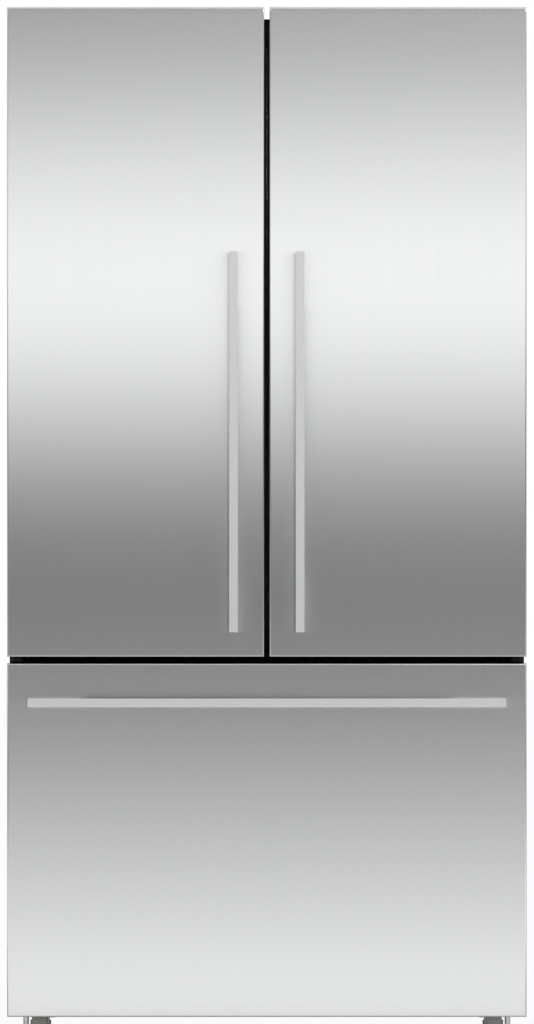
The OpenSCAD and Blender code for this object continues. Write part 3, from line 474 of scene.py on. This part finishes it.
# Toughened float glass: clear, with a trace of green and smears about 110 mm wide. A thin plate
# lets what is behind it keep its brightness, so part of the light passes straight through.
shelf_glass, tree, shader, place = new_finish(
    "toughened float glass", Base_Color="#eaf6f0", Roughness=0.02, Transmission_Weight=1.0,
    IOR=1.52, Alpha=0.6)
smear = add_node(tree, "TexNoise", {"Vector": place}, {"Scale": 9.0, "Detail": 2.0})
vary(tree, shader, smear.outputs["Fac"], (0.01, 0.04))
kept_shape("glass_shelves", "cabinet", "shelf_glass", shelf_glass, 0.0008, 3)


# Crispers. Two deep clear drawers under the lowest shelf, moulded in one piece, with round
# corners, a thick rim and a round scoop in the front as a grip.

# General-purpose polystyrene: clear with a trace of blue, and faint flow waves about 70 mm long.
# Its walls are thin, so part of the light passes straight through.
clear_plastic, tree, shader, place = new_finish(
    "clear polystyrene", Base_Color="#edf5f8", Roughness=0.04, Transmission_Weight=0.9, IOR=1.59,
    Alpha=0.45)
flow = add_node(tree, "TexNoise", {"Vector": place}, {"Scale": 14.0, "Detail": 1.0})
vary(tree, shader, flow.outputs["Fac"], (0.02, 0.08), None, (0.08, 0.0006))


def open_box(name, low, high, corner, foot, wall):
    """A moulded tub: open above, round at its upright and lower edges, with a thin wall."""
    piece = block(name, low, high)
    drop_faces(lambda at, out: out.z > 0.9)
    round_edges(lambda at, along: abs(along.z) > 0.9, corner, 5)
    round_edges(lambda at, along: at.z < low[2] + 0.0001, foot, 4)
    modify(piece, "SOLIDIFY", thickness=wall, offset=-1)
    return piece


def rim_around(name, low, high, corner, top, depth, proud):
    """A band round the mouth of a tub, which stiffens it."""
    band = block(name, (low[0], low[1], top - depth), (high[0], high[1], top))
    drop_faces(lambda at, out: abs(out.z) > 0.9)
    round_edges(lambda at, along: abs(along.z) > 0.9, corner, 5)
    modify(band, "SOLIDIFY", thickness=proud, offset=-1)
    soften(band, 0.0006)
    return band


scoop_r, grip_inset = 0.06, 0.02
for side in ("left", "right"):
    low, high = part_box(side + "_crisper")
    proud = Vector((0.0012, 0.0012, 0))
    tub = open_box("crisper", low + proud, high - proud, 0.014, 0.009, 0.0026)
    put_down()
    bpy.ops.mesh.primitive_cylinder_add(
        vertices=72, radius=scoop_r, depth=0.02, location=((low.x + high.x) / 2, low.y, high.z),
        rotation=(math.pi / 2, 0, 0))
    scoop = settle("scoop")
    bands = [rim_around("band", low, high, 0.015, top, depth, 0.0014)
             for top, depth in ((high.z, 0.005), (high.z - 0.03, 0.003))]
    for piece in [tub] + bands:
        modify(piece, "BOOLEAN", operation="DIFFERENCE", object=scoop, solver="EXACT")
    bpy.data.objects.remove(scoop)
    grip = block("grip", (low.x + grip_inset, low.y + 0.0025, high.z - scoop_r - 0.006),
                 (high.x - grip_inset, low.y + 0.016, high.z - scoop_r - 0.002))
    round_edges(lambda at, along: abs(along.x) > 0.9, 0.0012, 3)
    fit(gather(side + "_vegetable_drawer", [tub, grip] + bands), side + "_crisper",
        "clear_plastic", clear_plastic, side + "_crisper")


# Humidity sliders. Over each crisper, a knob of moulded white polystyrene runs in a slot of the
# shelf's frame, on a neck that opens and shuts the vents. Five grooves across it give a grip.

groove_pitch, groove_w, groove_d = 0.003, 0.001, 0.0008
for side in ("left", "right"):
    low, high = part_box(side + "_humidity_slider")
    knob_y = low.y + 0.0065
    knob = block("knob", low, (high.x, knob_y, high.z))
    round_edges(lambda at, along: at.y < low.y + 0.0001, 0.002, 3)
    neck = block("neck", (low.x + 0.0032, knob_y - 0.0002, low.z + 0.0025),
                 (high.x - 0.0032, high.y, high.z - 0.0025))
    round_edges(lambda at, along: at.y > high.y - 0.0001, 0.0006, 2)
    for step in range(-2, 3):
        middle = (low.x + high.x) / 2 + step * groove_pitch
        carve(knob, block("groove", (middle - groove_w / 2, low.y - 0.001, low.z - 0.001),
                          (middle + groove_w / 2, low.y + groove_d, high.z + 0.001)))
    fit(gather(side + "_slider", [knob, neck]), side + "_humidity_slider", "grey_plastic",
        white_plastic, side + "_humidity_slider")


# Cooling parts of the freezer: moulded cover with air slots and a round fan grille, finned
# evaporator behind it, and the fan on its motor.

kept_shape("evaporator_cover", "cabinet", "white_liner", white_plastic, 0.0008)

# Rolled aluminium: thin pale fins, bright but with a dull oxide, in flecks about 3 mm wide.
aluminium, tree, shader, place = new_finish("rolled aluminium fins", Base_Color="#c9cccf",
                                            Metallic=1.0, Roughness=0.38)
lines = add_node(tree, "TexNoise", {"Vector": place}, {"Scale": 300.0, "Detail": 2.0})
vary(tree, shader, lines.outputs["Fac"], (0.3, 0.5))
kept_shape("evaporator", "cabinet", "fin_aluminium", aluminium, 0.0002, 1)

# Black polypropylene: plain, slightly greasy black, with a grit of about 1.2 mm, for what is out
# of sight.
black_plastic, tree, shader, place = new_finish(
    "black polypropylene", Base_Color="#1a1b1c", Roughness=0.5)
grit = add_node(tree, "TexNoise", {"Vector": place}, {"Scale": 800.0, "Detail": 1.0})
vary(tree, shader, grit.outputs["Fac"], (0.45, 0.58), None, (0.15, 0.0001))
kept_shape("fan_motors", "cabinet", "black_plastic", black_plastic, 0.0006)


def fan_wheel(name, node, body, slot, finish, axis):
    """A moulded wheel: a domed hub and six blades, twisted from root to tip."""
    low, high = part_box(node)
    hub_r, bore_r = 0.014, 0.00305
    root, tip = 0.0125, (high.z - low.z) / 2 - 0.0012
    root_lean, twist = 38, 16
    put_down()
    bpy.ops.mesh.primitive_cylinder_add(vertices=40, radius=hub_r, depth=high[axis] - low[axis])
    parts = [settle("hub")]
    bpy.ops.object.mode_set(mode="EDIT")
    choose("FACE", lambda at, out: abs(out.z) > 0.9)
    bpy.ops.mesh.inset(thickness=hub_r - bore_r)
    bpy.ops.mesh.bridge_edge_loops()
    round_edges(lambda at, along: at.z < 0 and at.xy.length > 0.01, 0.004, 4)
    for number in range(6):
        blade = block("blade", (root, -0.013, -0.0008), (tip, 0.013, 0.0008))
        knife(0, *[root + (tip - root) * step / 6 for step in range(1, 6)])
        round_edges(lambda at, along: abs(along.z) > 0.9 and at.x > tip - 0.0008, 0.007, 4)
        bpy.ops.object.mode_set(mode="OBJECT")
        for vert in blade.data.vertices:
            lean = math.radians(root_lean - twist * (vert.co.x - root) / (tip - root))
            vert.co = Matrix.Rotation(lean, 3, "X") @ vert.co
        blade.data.transform(Matrix.Rotation(number * math.pi / 3, 4, "Z"))
        parts.append(blade)
    wheel = gather(name, parts)
    turn = (Matrix.Rotation(-math.pi / 2, 4, "X") if axis == 1
            else Matrix.Rotation(math.pi / 2, 4, "Y"))
    wheel.data.transform(Matrix.Translation((low + high) / 2) @ turn)
    fit(wheel, body, slot, finish, node)


fan_wheel("freezer_fan", "evaporator_fan", "evaporator_fan", "white_liner", white_plastic, 1)
fan_wheel("machine_fan", "condenser_fan", "condenser_fan", "grey_plastic", grey_plastic, 0)


# Machine space behind the base: welded compressor on rubber mounts, finned condenser, drip tray,
# slotted cover and mains inlet.

# Black stoving enamel over drawn steel: smooth, glossy, with a slow ripple about 20 mm wide.
black_enamel, tree, shader, place = new_finish("black stoving enamel", Base_Color="#0e0f10",
                                               Roughness=0.25)
ripple = add_node(tree, "TexNoise", {"Vector": place}, {"Scale": 45.0, "Detail": 1.0})
vary(tree, shader, ripple.outputs["Fac"], (0.2, 0.32), None, (0.1, 0.0005))
kept_shape("compressor", "cabinet", "black_steel", black_enamel, 0.0005)
kept_shape("condenser", "cabinet", "black_steel", black_enamel, 0.0002, 1)
kept_shape("drip_tray", "cabinet", "grey_plastic", grey_plastic, 0.0006)
kept_shape("machine_cover", "cabinet", "galvanised_steel", galvanised, 0.0004)
kept_shape("power_inlet", "cabinet", "black_plastic", black_plastic, 0.0005)


# Rollers and levelling feet under the base. Nylon rollers turn on the axles of the ears, and a
# steel foot with a hexagon is screwed into each front corner.

# Cast polyamide: off-white nylon that yellows a little and takes up scuffs about 5 mm wide.
nylon, tree, shader, place = new_finish("cast polyamide", Base_Color="#ebe9e2", Roughness=0.45)
scuff = add_node(tree, "TexNoise", {"Vector": place}, {"Scale": 180.0, "Detail": 3.0})
vary(tree, shader, scuff.outputs["Fac"], (0.38, 0.55), ("#e4e2da", "#efede7"), (0.15, 0.0002))
tread_w, slant, web_w, web_depth, bore_r = 0.004, 0.0015, 0.005, 0.003, 0.00405
for name in ("front_left", "front_right", "rear_left", "rear_right"):
    low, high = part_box(name + "_roller")
    put_down()
    bpy.ops.mesh.primitive_cylinder_add(vertices=64, radius=0.02, depth=high.x - low.x,
                                        location=(low + high) / 2, rotation=(0, math.pi / 2, 0))
    roller = settle(name + "_wheel")
    bpy.ops.object.mode_set(mode="EDIT")
    choose("FACE", lambda at, out: abs(out.x) > 0.9)
    bpy.ops.mesh.inset(thickness=tread_w)
    bpy.ops.mesh.inset(thickness=slant, depth=-web_depth)
    bpy.ops.mesh.inset(thickness=web_w)
    bpy.ops.mesh.inset(thickness=slant, depth=web_depth)
    bpy.ops.mesh.inset(thickness=0.008 - bore_r)
    bpy.ops.mesh.bridge_edge_loops()
    soften(roller, 0.0008)
    fit(roller, name + "_roller", "roller_nylon", nylon, name + "_roller")

# Zinc-plated steel: bright and blue-white over a machined grain, which is drawn 2 mm wide.
zinc, tree, shader, place = new_finish("zinc-plated steel", Base_Color="#d3d6d9", Metallic=1.0,
                                       Roughness=0.28)
lathe = add_node(tree, "TexNoise", {"Vector": place}, {"Scale": 500.0, "Detail": 2.0})
vary(tree, shader, lathe.outputs["Fac"], (0.22, 0.36))
for side in ("left", "right"):
    kept_shape(side + "_levelling_foot", side + "_levelling_foot", "galvanised_steel", zinc, 0.0008)


# Skins of the two doors and of the drawer front. Each is one sheet of brushed stainless steel,
# 1 mm thick, folded back at its sides and shortly at its top and bottom, over the end caps.

# Brushed stainless steel: a belt leaves fine upright scratches about 400 mm long, which spread a
# reflection sideways. Real ones are 0.1 mm wide, and these are 2.5 mm, so that they show. The
# tangent is the normal crossed with nearly upright, so it lies level on each face.
brushed_steel, tree, shader, place = new_finish(
    "brushed stainless steel", Base_Color="#dcdddd", Metallic=1.0, Roughness=0.3,
    Anisotropic=0.8)
stretch = add_node(tree, "Mapping", {"Vector": place}, {"Scale": (400.0, 400.0, 2.5)})
scratch = add_node(tree, "TexNoise", {"Vector": stretch.outputs["Vector"]},
                   {"Scale": 1.0, "Detail": 3.0, "Roughness": 0.6})
vary(tree, shader, scratch.outputs["Fac"], (0.28, 0.34), ("#d8d9d9", "#e0e1e1"))
surface = add_node(tree, "NewGeometry")
across = add_node(tree, "VectorMath", {0: surface.outputs["Normal"]},
                  {1: (0.02, 0.01, 1.0)}, operation="CROSS_PRODUCT")
tree.links.new(across.outputs["Vector"], shader.inputs["Tangent"])


def folded_skin(name, node, flange=0.012):
    """A tray folded from one sheet: front, full sides, and short flanges above and below."""
    low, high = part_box(node)
    piece = block(name, low, high)
    drop_faces(lambda at, out: out.y > 0.9)
    knife(1, low.y + flange)
    drop_faces(lambda at, out: abs(out.z) > 0.9 and at.y > low.y + flange)
    round_edges(lambda at, along: at.y < low.y + 0.0001, 0.0025, 6)
    return piece


skin_t = 0.001
slot_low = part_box("hinge_covers")[0].z - 0.001
slot_high = slot_low + 0.007
for side, sign in (("left", -1), ("right", 1)):
    skin = folded_skin(side + "_door_front", side + "_door_skin")
    knife(2, slot_low, slot_high)
    drop_faces(lambda at, out: slot_low < at.z < slot_high and out.x * sign > 0.9
               and abs(at.x) > 0.4)
    modify(skin, "SOLIDIFY", thickness=skin_t, offset=-1)
    fit(skin, side + "_door", "brushed_stainless", brushed_steel, side + "_door_skin")
skin = folded_skin("drawer_front", "drawer_skin")
modify(skin, "SOLIDIFY", thickness=skin_t, offset=-1)
fit(skin, "freezer_drawer", "brushed_stainless", brushed_steel, "drawer_skin")


# End caps of the doors. Moulded grey plastic closes the skin above and below, guides the hinge
# pins, and leaves a pocket for the hinge arm.

for side in ("left", "right"):
    kept_shape(side + "_door_caps", side + "_door", "grey_plastic", grey_plastic, 0.0006)


# Handles of the doors and the drawer. Each is a flat stainless bar with a long post behind each
# end, ground flush and bolted through the skin from inside.

# Satin stainless steel: ground with fine paper all round and blasted lightly, so it is duller
# and more even than the sheets. Its grain is drawn about 1.5 mm wide.
satin_steel, tree, shader, place = new_finish(
    "satin stainless steel", Base_Color="#e3e4e4", Metallic=1.0, Roughness=0.5)
grain = add_node(tree, "TexNoise", {"Vector": place}, {"Scale": 700.0, "Detail": 2.0})
vary(tree, shader, grain.outputs["Fac"], (0.46, 0.54))


def bar_handle(name, node, body, axis):
    """A bar along an axis with a post pushed out behind each end."""
    low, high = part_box(node)
    bar_t, post_l, inset, shoulder = 0.012, 0.092, 0.002, 0.001
    piece = block(name, low, (high.x, low.y + bar_t, high.z))
    ends = [low[axis] + inset, low[axis] + inset + post_l,
            high[axis] - inset - post_l, high[axis] - inset]
    other = 2 - axis
    near, far = low[other] + shoulder, high[other] - shoulder
    knife(axis, *ends)
    knife(other, near, far)
    choose("FACE", lambda at, out: out.y > 0.9 and near < at[other] < far
           and (ends[0] < at[axis] < ends[1] or ends[2] < at[axis] < ends[3]))
    push(y=high.y - low.y - bar_t)
    clean()
    soften(piece, 0.0013, 3)
    fit(piece, body, "brushed_stainless", satin_steel, node)


bar_handle("left_handle", "left_door_handle", "left_door", 2)
bar_handle("right_handle", "right_door_handle", "right_door", 2)
bar_handle("drawer_bar", "drawer_handle", "freezer_drawer", 0)


# Inner panels of the doors. A white moulded sheet closes the foam and holds the seal. A frame of
# two tall ribs, joined below and above, is screwed to it and carries the bins.

for side in ("left", "right"):
    low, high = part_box(side + "_door_panel")
    panel = block(side + "_inner_panel", low, high)
    round_edges(lambda at, along: at.y > high.y - 0.0001, 0.0015, 3)
    fit(panel, side + "_door", "white_liner", white_liner, side + "_door_panel")

    ribs = copy_of(side + "_door_ribs", side + "_rib_frame")
    foot_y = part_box(side + "_door_ribs")[0].y + 0.0001
    round_edges(lambda at, along: at.y > foot_y, 0.004, 4)
    fit(ribs, side + "_door", "white_liner", white_liner, side + "_door_ribs")
kept_shape("flap_knuckles", "left_door", "white_liner", white_plastic, 0.0005)


# Centre flap. A black plastic bar hinged on the left door, with a steel face and a heater inside,
# which closes the gap between the two doors' seals.

kept_shape("mullion_flap", "mullion_flap", "black_plastic", black_plastic, 0.0015, 3)


# Door bins. Clear bins clip between the ribs, each with a white band round its mouth. The right
# door has a closed dairy box with a flip-up lid in place of its fourth bin.

bin_h, bin_pitch, proud, dairy_z = 0.1, 0.2519333, 0.001, 1.4
for side, total, replaced in (("left", 4, ["left_door_bins"]), ("right", 3, [])):
    low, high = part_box(side + "_door_bins")
    bins, bands = [], []
    for number in range(total):
        z = low.z + number * bin_pitch
        bins.append(open_box("bin", (low.x + proud, low.y, z),
                             (high.x - proud, high.y - proud, z + bin_h), 0.014, 0.008, 0.0026))
        bands.append(rim_around("band", low, high, 0.0145, z + bin_h, 0.013, 0.0012))
    fit(gather(side + "_bins", bins), side + "_door", "clear_plastic", clear_plastic, *replaced)
    fit(gather(side + "_bin_bands", bands), side + "_door", "white_liner", white_plastic)

dairy = copy_of("right_door_bins", "dairy_box")
drop_faces(lambda at, out: at.z < dairy_z)
soften(dairy, 0.0012)
fit(dairy, "right_door", "clear_plastic", clear_plastic, "right_door_bins")
kept_shape("dairy_lid", "dairy_lid", "clear_plastic", clear_plastic, 0.0006)


# Seals of the doors and the drawer. Soft black PVC, extruded as a bulb over a magnet strip and
# welded at the corners. A thin lip reaches to the middle of the gap between the doors.

# Plasticised PVC: deep black, matt, with a faint bloom in clouds about 8 mm wide.
seal_rubber, tree, shader, place = new_finish("black plasticised PVC", Base_Color="#0b0b0c",
                                              Roughness=0.6)
bloom = add_node(tree, "TexNoise", {"Vector": place}, {"Scale": 120.0, "Detail": 3.0})
vary(tree, shader, bloom.outputs["Fac"], (0.5, 0.7), ("#090909", "#0f0f10"))


def seal_ring(name, low, high):
    """A frame of bulb section, grooved round both sides, with a flat face for its magnet."""
    width, groove_low, groove_high = 0.014, low[1] + 0.003, low[1] + 0.0055
    put_down()
    bpy.ops.mesh.primitive_plane_add(
        size=1, location=((low[0] + high[0]) / 2, low[1], (low[2] + high[2]) / 2),
        rotation=(-math.pi / 2, 0, 0))
    bpy.context.object.scale = (high[0] - low[0], high[2] - low[2], 1)
    ring = settle(name)
    bpy.ops.object.mode_set(mode="EDIT")
    bpy.ops.mesh.select_all(action="SELECT")
    bpy.ops.mesh.inset(thickness=width)
    bpy.ops.mesh.delete(type="FACE")
    bpy.ops.mesh.select_all(action="SELECT")
    push(y=high[1] - low[1])
    bpy.ops.mesh.select_all(action="SELECT")
    bpy.ops.mesh.normals_make_consistent(inside=False)
    round_edges(lambda at, along: at.y > high[1] - 0.0001, 0.0035, 4)
    knife(1, groove_low, groove_high)
    choose("FACE", lambda at, out: abs(out.y) < 0.1 and groove_low < at.y < groove_high)
    bpy.ops.mesh.extrude_region_shrink_fatten(TRANSFORM_OT_shrink_fatten={"value": -0.002})
    return ring


inner_x, lip_x, lip_t = 0.01, 0.0003, 0.0015
for side, sign in (("left", -1), ("right", 1)):
    low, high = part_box(side + "_door_seal")
    near, far = sorted((sign * inner_x, high.x if sign > 0 else low.x))
    ring = seal_ring(side + "_gasket", (near, low.y, low.z), (far, high.y, high.z))
    near, far = sorted((sign * lip_x, sign * (inner_x + 0.0015)))
    lip = block("lip", (near, low.y, low.z), (far, low.y + lip_t, high.z))
    round_edges(lambda at, along: abs(along.z) > 0.9 and abs(at.x) < 0.001, 0.0006, 3)
    fit(gather(side + "_gasket", [ring, lip]), side + "_door", "seal_rubber", seal_rubber,
        side + "_door_seal")
low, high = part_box("drawer_seal")
fit(seal_ring("drawer_gasket", low, high), "freezer_drawer", "seal_rubber", seal_rubber,
    "drawer_seal")


# Drawer's inner panel and its telescopic runners: white panel with a raised frame, and three
# nested channels of zinc-plated steel on each side.

kept_shape("drawer_panel", "freezer_drawer", "white_liner", white_liner, 0.0012, 3)
kept_shape("fixed_rails", "cabinet", "galvanised_steel", zinc, 0.0004)
kept_shape("middle_rails", "middle_rails", "galvanised_steel", zinc, 0.0004)
kept_shape("moving_rails", "freezer_drawer", "galvanised_steel", zinc, 0.0004)


# Freezer basket and tray. A deep clear tub hangs on the moving channels by hollow side rails, and
# a shallow one slides back and forth on its rim.

def rimmed_tub(low, high, corner, foot, wall):
    """An open tub with a band round its mouth, which stands 1 mm proud of it."""
    proud = Vector((0.001, 0.001, 0))
    return [open_box("tub", low + proud, high - proud, corner, foot, wall),
            rim_around("band", low, high, corner + 0.0005, high.z, 0.006, 0.0016)]


low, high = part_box("freezer_basket")
tub_x, tub_depth, rail_h, rail_t = 0.372, 0.325, 0.012, 0.003
parts = rimmed_tub(Vector((-tub_x, low.y, low.z)), Vector((tub_x, low.y + tub_depth, high.z)),
                   0.016, 0.012, 0.0028)
for sign in (-1, 1):
    near, far = sorted((sign * (tub_x - 0.0005), sign * high.x))
    rail = block("rail", (near, low.y + 0.014, high.z - rail_h), (far, high.y, high.z))
    choose("FACE", lambda at, out: out.x * sign > 0.9)
    bpy.ops.mesh.inset(thickness=rail_t)
    push(x=-sign * 0.009)
    soften(rail, 0.0005)
    parts.append(rail)
fit(gather("deep_basket", parts), "freezer_drawer", "clear_plastic", clear_plastic,
    "freezer_basket")

low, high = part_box("freezer_tray")
parts = rimmed_tub(Vector((-high.x, low.y, low.z)), high, 0.014, 0.008, 0.0026)
fit(gather("shallow_tray", parts), "freezer_tray", "clear_plastic", clear_plastic, "freezer_tray")
kept_shape("tray_glides", "freezer_tray", "roller_nylon", nylon, 0.0006, 3)


# Camera of the product photograph: level and straight on. It stands 14 m away behind a long lens,
# so that almost nothing of the sides shows.

door_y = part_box("left_door_skin")[0].y
camera = bpy.data.objects.new("camera", bpy.data.cameras.new("camera"))
bpy.context.scene.collection.objects.link(camera)
bpy.context.scene.camera = camera
distance, frame_height, sensor = 14.0, 1.7736, 36
camera.location = (0.0003, door_y - distance, 0.9157)
camera.rotation_euler = (math.pi / 2, 0, 0)
camera.data.sensor_fit = "AUTO"
camera.data.sensor_width = sensor
camera.data.lens = sensor * distance / frame_height
camera.data.clip_end = 100


# Studio: pale floor and white surroundings. A tall softbox stands before the fronts, masked so
# that it is dark in two bands, which the brushed fronts mirror.

def bare_tree(owner):
    """Starts the node tree of the world or of a lit card."""
    owner.use_nodes = True
    owner.node_tree.nodes.clear()
    return owner.node_tree


put_down()
bpy.ops.mesh.primitive_plane_add(size=60, location=(0, 0, 0))
floor = settle("floor")
pale_floor, tree, shader, place = new_finish("pale floor", Base_Color="#dcdcdc", Roughness=0.8)
glow = add_node(tree, "Emission", values={"Color": tone("#ffffff"), "Strength": 1.0})
ray = add_node(tree, "LightPath")
share = add_node(tree, "Math", {0: ray.outputs["Is Camera Ray"]}, {1: 0.95}, operation="MULTIPLY")
mixed = add_node(tree, "MixShader", {"Fac": share.outputs[0], 1: shader.outputs[0],
                                     2: glow.outputs[0]})
tree.links.new(mixed.outputs[0], tree.nodes["Material Output"].inputs["Surface"])
floor.data.materials.append(pale_floor)

# A lit card lies on the floor, and only the foot of the drawer front mirrors it.
put_down()
bpy.ops.mesh.primitive_plane_add(size=1, location=(0, door_y - 1.0, 0.002))
bpy.context.object.scale = (5.0, 1.3, 1)
bounce = settle("bounce_card")
lit_card = bpy.data.materials.new("lit bounce card")
tree = bare_tree(lit_card)
glow = add_node(tree, "Emission", values={"Color": tone("#ffffff"), "Strength": 1.27})
add_node(tree, "OutputMaterial", {"Surface": glow.outputs[0]})
bounce.data.materials.append(lit_card)
bounce.visible_camera = bounce.visible_diffuse = bounce.visible_shadow = False
bounce.visible_transmission = False

# The surroundings are white to the camera and through glass, and dimmer as a light.
world = bpy.data.worlds.new("studio")
bpy.context.scene.world = world
tree = bare_tree(world)
ray = add_node(tree, "LightPath")
seen = add_node(tree, "Math", {0: ray.outputs["Is Camera Ray"],
                               1: ray.outputs["Is Transmission Ray"]}, operation="MAXIMUM")
soft = add_node(tree, "Background", values={"Color": tone("#f6f7f8"), "Strength": 0.66})
white = add_node(tree, "Background", values={"Color": tone("#ffffff"), "Strength": 1.0})
mixed = add_node(tree, "MixShader", {"Fac": seen.outputs[0], 1: soft.outputs[0],
                                     2: white.outputs[0]})
add_node(tree, "OutputWorld", {"Surface": mixed.outputs[0]})

# Each stop of the softbox is a height in metres and its brightness there.
card_low, card_high = -1.1, 3.3
stops = [(-0.25, 0.865), (0.81, 0.033), (0.845, 0.022), (1.335, 0.875), (2.0, 0.08),
         (2.15, 0.08), (2.8, 1.0)]
put_down()
bpy.ops.mesh.primitive_plane_add(size=1, rotation=(math.pi / 2, 0, 0),
                                 location=(0, door_y - 1.6, (card_low + card_high) / 2))
bpy.context.object.scale = (5.0, card_high - card_low, 1)
card = settle("softbox")
softbox = bpy.data.materials.new("softbox")
tree = bare_tree(softbox)
place = add_node(tree, "TexCoord").outputs["Object"]
axes = add_node(tree, "SeparateXYZ", {"Vector": place})
height = add_node(tree, "MapRange", {"Value": axes.outputs["Z"]},
                  {"From Min": card_low, "From Max": card_high})
ramp = add_node(tree, "ValToRGB", {"Fac": height.outputs["Result"]})
ramp.color_ramp.interpolation = "EASE"
for _ in stops[2:]:
    ramp.color_ramp.elements.new(1)
for number, (z, strength) in enumerate(stops):
    stop = ramp.color_ramp.elements[number]
    stop.position = (z - card_low) / (card_high - card_low)
    stop.color = (strength, strength, strength, 1)
glow = add_node(tree, "Emission", {"Color": ramp.outputs["Color"]}, {"Strength": 1.46})
add_node(tree, "OutputMaterial", {"Surface": glow.outputs[0]})
card.data.materials.append(softbox)
card.visible_camera = False
card.visible_shadow = False

# A square key lamp hangs high on the right, and a faint light comes almost level from the front.
lamp = bpy.data.objects.new("key", bpy.data.lights.new("key", "AREA"))
bpy.context.scene.collection.objects.link(lamp)
lamp.data.shape = "RECTANGLE"
lamp.data.size = 1.2
lamp.data.size_y = 1.2
lamp.data.energy = 24
lamp.location = (1.6, door_y - 1.4, 2.6)
lamp.rotation_euler = (Vector((0, door_y, 1.0)) - lamp.location).to_track_quat("-Z", "Y").to_euler()

sun = bpy.data.objects.new("side_light", bpy.data.lights.new("side_light", "SUN"))
bpy.context.scene.collection.objects.link(sun)
sun.data.angle = math.radians(3)
sun.data.energy = 0.023
sun.rotation_euler = (math.radians(90 - 2.5), 0, math.radians(5))

bpy.context.scene.view_settings.view_transform = "Standard"
